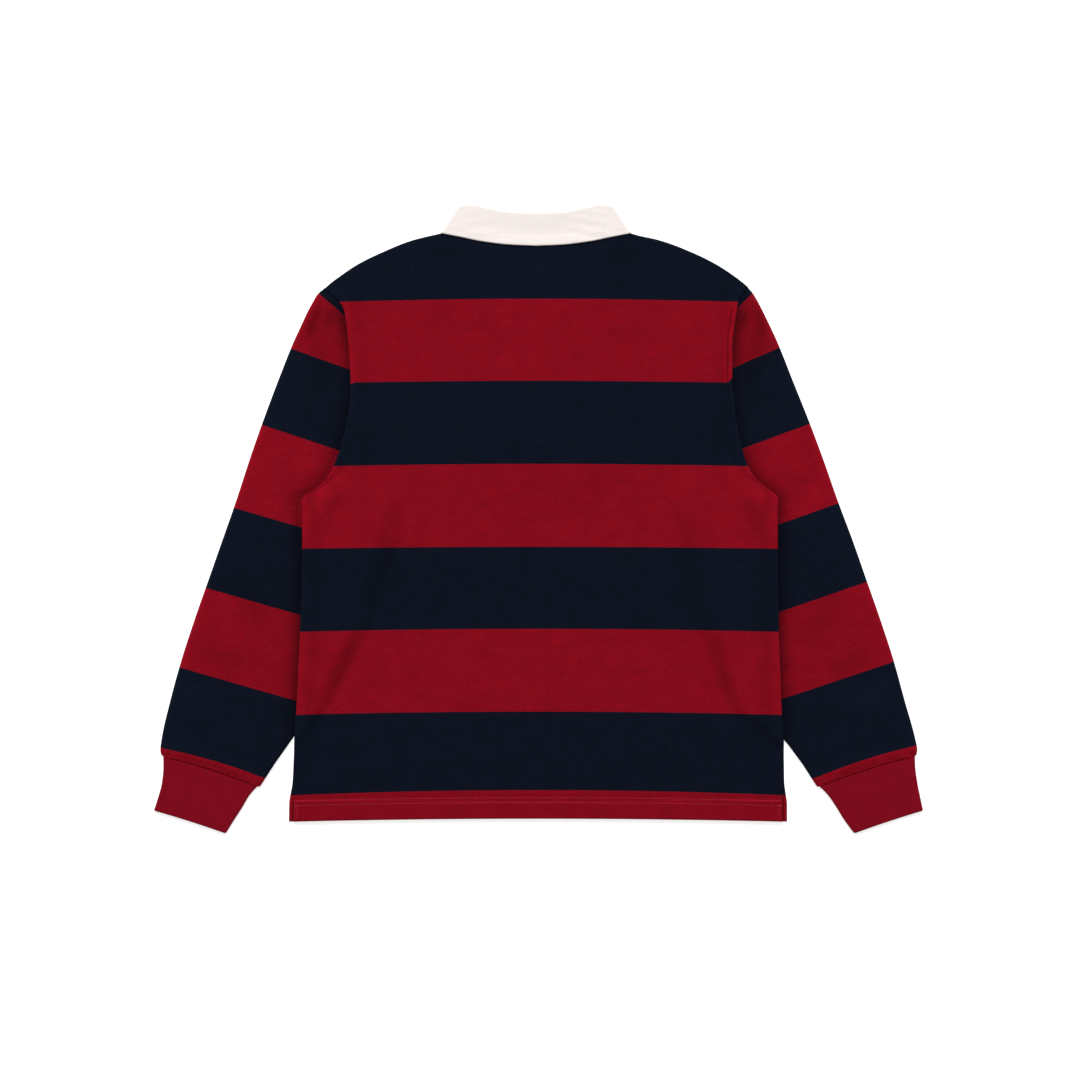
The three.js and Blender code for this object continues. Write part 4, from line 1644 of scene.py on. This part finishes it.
        # The painted shade goes to the finish as a field of its own, beside the hoops.
        fields = {
            "hoop": tuple(sleeve_hoop(self.side, *plan) for plan in plans),
            "painted_shade": tuple(self.painted_shade(*plan) for plan in plans),
        }
        for grid, plan in zip((faces, backs), plans):
            grid[..., :2] += cuff_bow(self.side, *plan)
        made = wall.mesh(f"sleeve_{self.side.value}_cloth", fields)
        return place(made, wardrobe.jersey, Slot.SLEEVE_JERSEY, f"sleeve_{self.side.value}")


@dataclass
class Cuff(FlatTube):
    """A rib cuff: ribs along the arm, gathered a little at its seam and turned at its end."""

    side: Side = Side.LEFT
    wall: float = RIB
    upper_columns: int = 300
    lower_columns: int = 170
    outer_roll: float = 3.4
    inner_roll: float = 3.4
    crowding: float = 0.25
    # Real ribs are 2 mm apart; 46 to a layer are 2.6 mm apart, so that each shows.
    ribs: int = 46
    rib_depth: float = 0.34
    crown: float = 0.35
    rows: int = 26
    tucked: float = 1.4
    end_corner: float = 1.4

    def top(self, x: Array, y: Array, share: Array) -> Array:
        """Height of the upper layer's face, with its ribs."""
        return 2 * self.wall + self.gap + self.crown - self.rib_depth * self.groove(share)

    def bottom(self, share: Array) -> Array:
        """Height of the lower layer's face, with its ribs."""
        return self.rib_depth * self.groove(share)

    def groove(self, share: Array) -> Array:
        """1 in the middle of a groove between ribs and 0 on a rib."""
        return (0.5 - 0.5 * np.cos(2 * math.pi * self.ribs * share)) ** 2.2

    def tuck_in(self, seam: Array) -> Array:
        """How far the cuff's first row goes up inside the sleeve.

        Args:
            seam: outer x and y and inner x and y of the cuff's seam.

        Returns:
            The shift in x and y.
        """
        across = seam[2:] - seam[:2]
        up = np.array([-across[1], across[0]]) * -self.side.sign
        return up / np.linalg.norm(up) * self.tucked

    def build(self, wardrobe: Wardrobe) -> bpy.types.Object:
        """Makes and dresses the cuff.

        Args:
            wardrobe: the finishes.

        Returns:
            The cuff.
        """
        table = np.array(CUFF_ROWS[self.side])
        keys = np.arange(len(table))
        steps = clustered(self.rows, 0.8) * (len(table) - 1)
        points = np.stack([smooth_through(keys, table[:, number], steps) for number in range(4)], 1)
        # The first row goes up inside the sleeve's end.
        points[0] += np.tile(self.tuck_in(table[0]), 2)
        outer, inner = soft_corners(points[:, :2], points[:, 2:], self.end_corner)
        faces, backs = self.grids(outer, inner, np.zeros(self.rows, bool))
        along = steps / steps[-1]
        ends = rounded(along * CUFF_LENGTH, 1.4), rounded((1 - along) * CUFF_LENGTH, 2.4)
        drop = 1 - np.minimum(*ends)
        drawn = np.where(along < 0.02, 0.9, 0.45) * drop
        faces[..., 2] += (self.middle - faces[..., 2]) * drawn[:, None]
        width = np.hypot(*(inner - outer).T)[:, None]

        def grooves(grid: Array) -> Array:
            """How far down a groove each point of a grid lies."""
            away = np.hypot(grid[..., 0] - outer[:, :1], grid[..., 1] - outer[:, 1:])
            return self.groove(away / width)

        fields = {"groove": (grooves(faces), grooves(backs))}
        for grid in (faces, backs):
            grid[..., :2] += cuff_bow(self.side, grid[..., 0], grid[..., 1])
        made = Wall(faces, backs, ring=True).mesh(f"cuff_{self.side.value}_rib", fields)
        return place(made, wardrobe.rib, Slot.RIB, f"cuff_{self.side.value}")


# Collar, placket and buttons


# Half of the collar's fall from the centre back round to the front point: x and y of the fold and of the
# free edge, and the turn round the side of the neck in degrees
FALL_ROWS = (
    (0, 368.7, 0, 327.9, 0),
    (29.4, 369.9, 32, 329.3, 0),
    (53.5, 373.8, 64, 333.2, 0),
    (76, 378.3, 91, 338.6, 0),
    (88, 377.6, 111.8, 342.6, 0),
    (89.6, 374, 112, 341.8, 45),
    (89.6, 373, 111.6, 342, 90),
    (89, 372, 111.5, 341.5, 135),
    (88, 370, 111.3, 340.2, 180),
    (69, 343, 108, 305, 180),
    (53, 318, 99, 265, 180),
    (39, 295, 86, 240, 180),
    (18.5, 284, 67, 222, 180),
)
STAND_ROWS = (
    (0, 367, 0, 345.5, 0),
    (29.2, 368.2, 30, 346, 0),
    (53, 372, 56, 347.7, 0),
    (75, 375.3, 80, 350.2, 0),
    (86.5, 374.4, 91, 352.5, 0),
    (88, 371.4, 91.3, 353.3, 45),
    (88, 370, 91.5, 353.5, 90),
    (88.8, 368.6, 91.2, 353.2, 135),
    (89.4, 368, 91.5, 352, 180),
    (70.6, 341.4, 82.5, 333.5, 180),
    (54.5, 316.2, 69.5, 303.5, 180),
    (40.5, 293.2, 45, 276.5, 180),
    (20, 282, 18, 260.4, 180),
    (5, 280.6, 2, 259.8, 180),
)
COLLAR_SIDE_OUT = (0.795, 0.607)
BUTTON_HEIGHT = 1.8


@dataclass
class CollarBand:
    """A band of twill round the neck, from its fold line to its free edge."""

    name: str = "collar_stand_twill"
    node: str = "collar_stand"
    table: tuple[tuple[float, ...], ...] = STAND_ROWS
    radius: float = COLLAR_HEIGHT / 2 - TWILL - SEAM_GAP
    crest: float = 0.0
    along_steps: int = 18

    def sections(self) -> tuple[Array, Array]:
        """The table's smooth rows from the left front point round to the right one.

        Returns:
            The rows, and the sign of x at each.
        """
        last = len(self.table) - 1
        runs = (np.linspace(0, 4, 61)[:-1], np.linspace(4, 8, 29)[:-1], np.linspace(8, last, 45))
        steps = np.concatenate(runs)
        half = np.stack(
            [smooth_through(np.arange(last + 1), column(self.table, at), steps) for at in range(5)], 1
        )
        signs = np.concatenate([-np.ones(len(steps) - 1), np.ones(len(steps))])
        return np.concatenate([half[1:][::-1], half]), signs

    def lengths(self) -> Array:
        """Length of each section from its fold to its free edge."""
        rows, _ = self.sections()
        return np.hypot(*(rows[:, 2:4] - rows[:, :2]).T)

    def sway(self, section: Array, along: Array) -> Array:
        """Small unevenness of the laid collar, outward from its middle layer."""
        return np.zeros(np.broadcast(section, along).shape)

    def stops(self, inset: float) -> tuple[Array, Array]:
        """Where the band's points lie, section by section.

        Args:
            inset: how far in from the face they are.

        Returns:
            How far along its section each is, and how far out from the middle layer.
        """
        length = self.lengths()[:, None]
        radius = self.radius - inset
        start = self.crest + inset if self.crest else 0.0
        along = start + (length - start) * clustered(self.along_steps, 0.7)[None, :]
        radii = np.full(along.shape, radius)
        if self.crest:
            turn = np.linspace(0, math.pi / 2, 8)[:-1]
            round_along = inset + (start - inset) * (1 - np.cos(turn))
            round_radius = radius - self.crest * (1 - np.sin(turn))
            along, radii = (
                np.concatenate([np.repeat(part[None], len(length), 0), rest], 1)
                for part, rest in ((round_along, along), (round_radius, radii))
            )
        return along, radii

    def laid(self, along: Array, radii: Array) -> Array:
        """Points of the band, section by section.

        Args:
            along: how far along its section each is.
            radii: how far out from the middle layer each is.

        Returns:
            The points.
        """
        rows, signs = self.sections()
        fold, edge = rows[:, None, :2], rows[:, None, 2:4]
        share = along / self.lengths()[:, None]
        turn = np.radians(rows[:, 4])[:, None]
        x, y = (
            fold[..., axis] + (edge - fold)[..., axis] * share + out * radii * np.sin(turn)
            for axis, out in enumerate(COLLAR_SIDE_OUT)
        )
        return np.stack([CENTRE_LEAN + signs[:, None] * x, y, COLLAR_HEIGHT / 2 + radii * np.cos(turn)], -1)

    def grid(self, inset: float) -> Array:
        """Points of one side of the band.

        Args:
            inset: 0 for its face, and the cloth's thickness for its back.

        Returns:
            The points, section by section.
        """
        along, radii = self.stops(inset)
        edge_roll = rounded(self.lengths()[:, None] - along, 1.6)
        radii = radii + self.sway(np.arange(len(along))[:, None] / len(along), along)
        return self.laid(along, radii - (0 if inset else 0.55 * TWILL) * (1 - edge_roll))

    def build(self, wardrobe: Wardrobe) -> bpy.types.Object:
        """Makes and dresses the band.

        Args:
            wardrobe: the finishes.

        Returns:
            The band.
        """
        wall = Wall(self.grid(0.0), self.grid(TWILL))
        return place(wall.mesh(self.name), wardrobe.twill, Slot.TWILL, self.node)


@dataclass
class CollarFall(CollarBand):
    """The collar's fall: twill folded over at the neck and stitched along its free edge."""

    name: str = "collar_fall_twill"
    node: str = "collar_fall"
    table: tuple[tuple[float, ...], ...] = FALL_ROWS
    radius: float = COLLAR_HEIGHT / 2
    crest: float = 2.8
    along_steps: int = 30
    topstitch: float = 8.4

    def sway(self, section: Array, along: Array) -> Array:
        """Small waves along the band, and a hollow at the back of the neck.

        Args:
            section: how far round the neck each point is.
            along: how far from the fold it is.

        Returns:
            How far out it is moved.
        """
        wave = 0.10 * np.sin(section * 41 + along * 0.05) + 0.07 * np.sin(section * 97 + 1.3)
        hollow = -0.8 * bell(section, 0.5, 0.12) * ease(along, 3, 24) * (1 - ease(along, 26, 38))
        right = 0.16 * bell(section, 0.62, 0.05) * np.sin(along * 0.45 - section * 90)
        left = 0.10 * bell(section, 0.37, 0.06) * np.sin(along * 0.4 + section * 70)
        return (wave + right + left) * ease(along, 3, 14) + hollow

    def stitch_line(self) -> tuple[Array, Array]:
        """The topstitch on the outside.

        Returns:
            Its points, and the way that the fall looks at each.
        """
        rows, signs = self.sections()
        along = (self.lengths() - self.topstitch)[:, None]
        radii = self.radius + self.sway(np.arange(len(rows))[:, None] / len(rows), along)
        turn = np.radians(rows[:, 4])
        side_x_out, side_y_out = (out * np.sin(turn) for out in COLLAR_SIDE_OUT)
        return self.laid(along, radii)[:, 0], np.stack([signs * side_x_out, side_y_out, np.cos(turn)], 1)


@dataclass
class PlacketStrip:
    """A twill strip of the front opening, under the front panel's slot."""

    name: str = "placket_over_twill"
    node: str = "placket_over"
    over_buttons: bool = False
    columns: int = 37
    rows: int = 90

    def low(self, from_centre: Array) -> Array:
        """Height of the strip's underside above the front panel's.

        Args:
            from_centre: how far each point is from the opening's middle.

        Returns:
            The height at each point: the under strip's middle clears the buttons.
        """
        if not self.over_buttons:
            return np.zeros(np.shape(from_centre))
        under = PLACKET_WALL + SEAM_GAP
        over = under + BUTTON_HEIGHT + SEAM_GAP
        return over + (under - over) * ease(from_centre, 8.5, PLACKET_HALF - 1)

    def build(self, wardrobe: Wardrobe) -> bpy.types.Object:
        """Makes and dresses the strip.

        Args:
            wardrobe: the finishes.

        Returns:
            The strip.
        """
        panel = FrontPanel()
        rows = np.linspace(PLACKET_FOOT_SHARE, 1, self.rows)
        left, right = panel.sides(rows)
        near = CENTRE_LEAN - PLACKET_HALF + SEAM_GAP
        far = CENTRE_LEAN + PLACKET_HALF - SEAM_GAP
        x = np.repeat(np.linspace(near, far, self.columns)[None], self.rows, 0)
        u = (x - left[:, None]) / (right - left)[:, None]
        v = np.repeat(rows[:, None], self.columns, 1)
        y = panel.spot(u, v).y + SEAM_GAP * (1 - ease(v, PLACKET_FOOT_SHARE, PLACKET_FOOT_SHARE + 0.02))
        away = np.abs(x - CENTRE_LEAN)
        low = front_lift(x, y) + self.low(away)
        to_end = np.minimum(v - rows[0], rows[-1] - v) * PANEL_LENGTH
        edge = np.minimum(PLACKET_HALF - SEAM_GAP - away, to_end)
        thick = PLACKET_WALL * (0.5 + 0.5 * rounded(edge, 1.2))
        quilt = 0.12 * bell(edge, 2.5, 1)
        wall = Wall(np.stack([x, y, low + thick - quilt], -1), np.stack([x, y, low], -1))
        return place(wall.mesh(self.name), wardrobe.twill, Slot.TWILL, self.node)


@dataclass
class Buttons:
    """Three plain moulded buttons between the placket's strips: the solids with their finish."""

    nodes: tuple[str, ...] = ("button_1", "button_2", "button_3")

    def dress(self, frame: dict[str, object], wardrobe: Wardrobe) -> None:
        """Gives the solids their finish.

        Args:
            frame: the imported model's nodes by name.
            wardrobe: the finishes.
        """
        for node in self.nodes:
            solid = frame["nodes"][node]
            solid.data.materials.clear()
            solid.data.materials.append(wardrobe.rubber)
            LOG.info("%s: moulded rubber", node)


# Stitches


def along_run(values: Array, before: Array, at: Array) -> Array:
    """Values along a run.

    Args:
        values: the values at the run's points, n by 3.
        before: the run's length before each point.
        at: how far along the run they are wanted.

    Returns:
        The values there.
    """
    return np.stack([np.interp(at, before, values[:, axis]) for axis in range(3)], 1)


@dataclass
class StitchRow:
    """A row of lockstitches laid on a surface, joined into one mesh."""

    name: str
    material: bpy.types.Material
    length: float = 2.1
    pitch: float = 3.5
    # Real thread is 0.35 mm thick; it is drawn 0.85 mm wide, so that the stitches show at all.
    width: float = 0.85
    height: float = 0.42

    def build(self, runs: Sequence[tuple[Array, Array]], slot: Slot) -> bpy.types.Object:
        """Makes the row's mesh.

        Args:
            runs: for each run, its points and the way the surface looks at each.
            slot: the record's slot that its finish goes with.

        Returns:
            The row.
        """
        placed = []
        for points, out in runs:
            steps = np.hypot.reduce(np.diff(points, axis=0), axis=1)
            before = np.concatenate([[0], np.cumsum(steps)])
            count = max(2, int(before[-1] / self.pitch))
            at = (np.arange(count) + 0.5) * before[-1] / count
            way = along_run(points, before, at + 0.8) - along_run(points, before, at - 0.8)
            placed.append((along_run(points, before, at), way, along_run(out, before, at)))
        centre, way, out = (np.concatenate(part) for part in zip(*placed))
        way = way / np.linalg.norm(way, axis=1, keepdims=True)
        out = out - way * (way * out).sum(1, keepdims=True)
        out = out / np.linalg.norm(out, axis=1, keepdims=True)
        across = np.cross(out, way)
        rings, sides = 5, 6
        share = np.linspace(-1, 1, rings)
        full = np.sqrt(np.clip(1 - (share * 0.94) ** 4, 0, 1))
        turn = np.arange(sides) * 2 * math.pi / sides
        local = np.stack([
            np.repeat(share * self.length / 2, sides),
            (full[:, None] * np.cos(turn)[None] * self.width / 2).ravel(),
            (full[:, None] * np.sin(turn)[None] * self.height).ravel(),
        ], 1)
        points = (
            centre[:, None]
            + way[:, None] * local[None, :, :1]
            + across[:, None] * local[None, :, 1:2]
            + out[:, None] * local[None, :, 2:]
        )
        ring, side = (part.ravel() for part in np.mgrid[:rings - 1, :sides])
        corners = ((0, side), (0, (side + 1) % sides), (1, (side + 1) % sides), (1, side))
        quads = np.stack([(ring + step) * sides + to for step, to in corners], 1)
        caps = np.array([[0, 1, 2, 3], [0, 3, 4, 5]])
        ends = caps + (rings - 1) * sides
        one = np.concatenate([quads, caps[:, ::-1], ends])
        number = np.arange(len(centre))[:, None, None] * rings * sides
        made = mesh_object(self.name, points.reshape(-1, 3), (one[None] + number).reshape(-1, 4))
        return place(made, self.material, slot)


def upward(points: Array) -> tuple[Array, Array]:
    """A run of points on a surface that looks up."""
    return points, np.repeat(np.array([[0.0, 0.0, 1.0]]), len(points), 0)


@dataclass
class BodyStitches:
    """The body's sewing: two rows along the hem, and the vents' topstitch and tacks."""

    panel: BackPanel
    sink: float = 0.02
    hem_margin: float = 0.004
    vent_in: float = 4.6
    vent_top: float = -342.0
    tacks: tuple[float, float] = (-343.4, -345.2)
    tack_ends: tuple[float, float] = (0.9, 5.6)

    def along_hem(self, up: float) -> tuple[Array, Array]:
        """A run parallel to the hem, up from it."""
        u = np.linspace(self.hem_margin, 1 - self.hem_margin, 240)
        return upward(self.panel.on_face(u, up / self.panel.spot(u, np.ones_like(u)).up, -self.sink))

    def inward(self, side: Side, y: Array, inset: Array | float) -> tuple[Array, Array]:
        """A run in from the side edge.

        Args:
            side: the edge's side.
            y: the points' y.
            inset: how far in from the edge they are.

        Returns:
            The run.
        """
        v = v_at(y)
        left, right = self.panel.sides(v)
        share = inset / (right - left)
        return upward(self.panel.on_face(share if side is Side.LEFT else 1 - share, v, -self.sink))

    def build(self, wardrobe: Wardrobe) -> None:
        """Makes all the rows.

        Args:
            wardrobe: the finishes.
        """
        hems = [self.along_hem(up) for up in self.panel.hem_rows]
        StitchRow("hem_stitches", wardrobe.crimson_thread).build(hems, Slot.BODY_JERSEY)
        vent = np.linspace(HEM_CORNER_Y + 2, self.vent_top, 220)
        across = np.linspace(*self.tack_ends, 12)
        vents = [self.inward(side, vent, self.vent_in) for side in Side]
        vents += [self.inward(side, np.full(12, y), across) for side in Side for y in self.tacks]
        StitchRow("vent_stitches", wardrobe.crimson_thread).build(vents, Slot.BODY_JERSEY)


@dataclass
class CollarStitches:
    """The collar's sewing: one topstitch round the fall's free edge."""

    fall: CollarFall
    sink: float = 0.1

    def build(self, wardrobe: Wardrobe) -> None:
        """Makes the row.

        Args:
            wardrobe: the finishes.
        """
        points, out = self.fall.stitch_line()
        row = StitchRow(
            "collar_stitches", wardrobe.cream_thread, length=2.2, pitch=2.7, width=0.7, height=0.3
        )
        row.build([(points - out * self.sink, out)], Slot.TWILL)


# Cuts of cloth


@dataclass(frozen=True)
class Cut:
    """A piece's cut before it was sewn: its width and length in metres, and its area in square metres."""

    width: float
    length: float
    area: float
    held: str
    rests_on: tuple[str, ...]

    def declare(self, made: bpy.types.Object) -> None:
        """Does nothing with the piece."""


CUTS = {
    "front": Cut(0.60, 0.73, 0.345, "laid", ("collar_fall_twill",)),
    "back": Cut(0.60, 0.73, 0.360, "laid", ("front_panel",)),
    "sleeve": Cut(0.50, 0.60, 0.158, "folded", ("front_panel",)),
    "cuff": Cut(0.236, 0.070, 0.0135, "folded", ("front_panel",)),
    "fall": Cut(0.50, 0.060, 0.0238, "folded", ("back_panel",)),
    "stand": Cut(0.46, 0.024, 0.0087, "folded", ("back_panel",)),
    "placket": Cut(0.033, 0.165, 0.0053, "laid", ("front_panel",)),
}


# Studio


@dataclass
class Studio:
    """A plain pale floor, a soft slanting light and the camera that looks straight down."""

    floor_half: float = 60.0
    floor_colour: str = "e0e0e0"
    floor_glow: float = 0.6
    lens: float = 95.0
    sensor: float = 36.0
    frame_width: float = 1.296
    centre: tuple[float, float] = (0.0018, -0.0249)
    object_height: float = 0.006
    sky: float = 0.45
    key_place: tuple[float, float, float] = (-0.8, 9.6, 6.2)
    key_size: float = 4.0
    key_power: float = 1550.0

    def build_floor(self) -> None:
        """Lays the floor just under the shirt."""
        half = self.floor_half / METRES_PER_MM
        corners = np.array([[x * half, y * half, -0.3] for x, y in ((-1, -1), (1, -1), (1, 1), (-1, 1))])
        floor = mesh_object("studio_floor", corners, np.array([[0, 1, 2, 3]]))
        material = bpy.data.materials.new("painted board")
        material.use_nodes = True
        tree = material.node_tree
        tree.nodes.clear()
        # Matt white board, lit a little from below, stays even and keeps the shirt's shadow faint.
        inputs = {
            "Base Color": linear(self.floor_colour),
            "Roughness": 0.9,
            "Specular IOR Level": 0.0,
            "Emission Color": linear("ffffff"),
            "Emission Strength": self.floor_glow,
        }
        shader = add_node(tree, "BsdfPrincipled", None, inputs)
        add_node(tree, "OutputMaterial", None, {"Surface": shader.outputs[0]})
        floor.data.materials.append(material)

    def add_light(self, name: str, place_at: Vector, size: float, power: float) -> None:
        """Adds a square area light that points at the shirt.

        Args:
            name: the light's name.
            place_at: where it stands, in metres.
            size: the length of its side.
            power: how strong it is, in watts.
        """
        data = bpy.data.lights.new(name, "AREA")
        data.shape = "SQUARE"
        data.size = size
        data.energy = power
        light = bpy.data.objects.new(name, data)
        light.location = place_at
        light.rotation_euler = (-place_at).to_track_quat("-Z", "Y").to_euler()
        bpy.context.scene.collection.objects.link(light)

    def build_lights(self) -> None:
        """Sets an even sky and a soft box that shines down the shirt from beyond its collar."""
        scene = bpy.context.scene
        world = bpy.data.worlds.new("studio")
        world.use_nodes = True
        background = world.node_tree.nodes["Background"]
        background.inputs["Color"].default_value = (1.0, 1.0, 1.0, 1.0)
        background.inputs["Strength"].default_value = self.sky
        scene.world = world
        scene.view_settings.view_transform = "Standard"
        self.add_light("key_softbox", Vector(self.key_place), self.key_size, self.key_power)

    def build_camera(self) -> None:
        """Puts the camera straight above, with the photograph's frame round the shirt."""
        data = bpy.data.cameras.new("camera")
        data.lens = self.lens
        data.sensor_width = self.sensor
        distance = self.frame_width * self.lens / self.sensor
        camera = bpy.data.objects.new("camera", data)
        camera.location = (self.centre[0], self.centre[1], distance + self.object_height)
        camera.rotation_euler = (0.0, 0.0, 0.0)
        bpy.context.scene.collection.objects.link(camera)
        bpy.context.scene.camera = camera

    def build(self) -> None:
        """Builds the floor, the lights and the camera."""
        self.build_floor()
        self.build_lights()
        self.build_camera()


# The shirt


@dataclass
class RugbyShirt:
    """The whole shirt, piece by piece in the order that it lies in."""

    frame: dict[str, object]
    wardrobe: Wardrobe = field(default_factory=Wardrobe)

    def build(self) -> None:
        """Builds every piece, the buttons' finish and the stitches."""
        panel, fall = BackPanel(), CollarFall()
        pieces = [("front", FrontPanel()), ("back", panel)]
        for side in Side:
            pieces += [("sleeve", Sleeve(side=side)), ("cuff", Cuff(side=side))]
        pieces += [("fall", fall), ("stand", CollarBand()), ("placket", PlacketStrip())]
        pieces.append(("placket", PlacketStrip("placket_under_twill", "placket_under", True)))
        for cut, piece in pieces:
            CUTS[cut].declare(piece.build(self.wardrobe))
        Buttons().dress(self.frame, self.wardrobe)
        BodyStitches(panel).build(self.wardrobe)
        CollarStitches(fall).build(self.wardrobe)


def main() -> None:
    """Builds the shirt and its studio."""
    logging.basicConfig(level=logging.INFO, format="%(name)s: %(message)s")
    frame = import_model()
    RugbyShirt(frame).build()
    Studio().build()


if __name__ == "__main__":
    main()
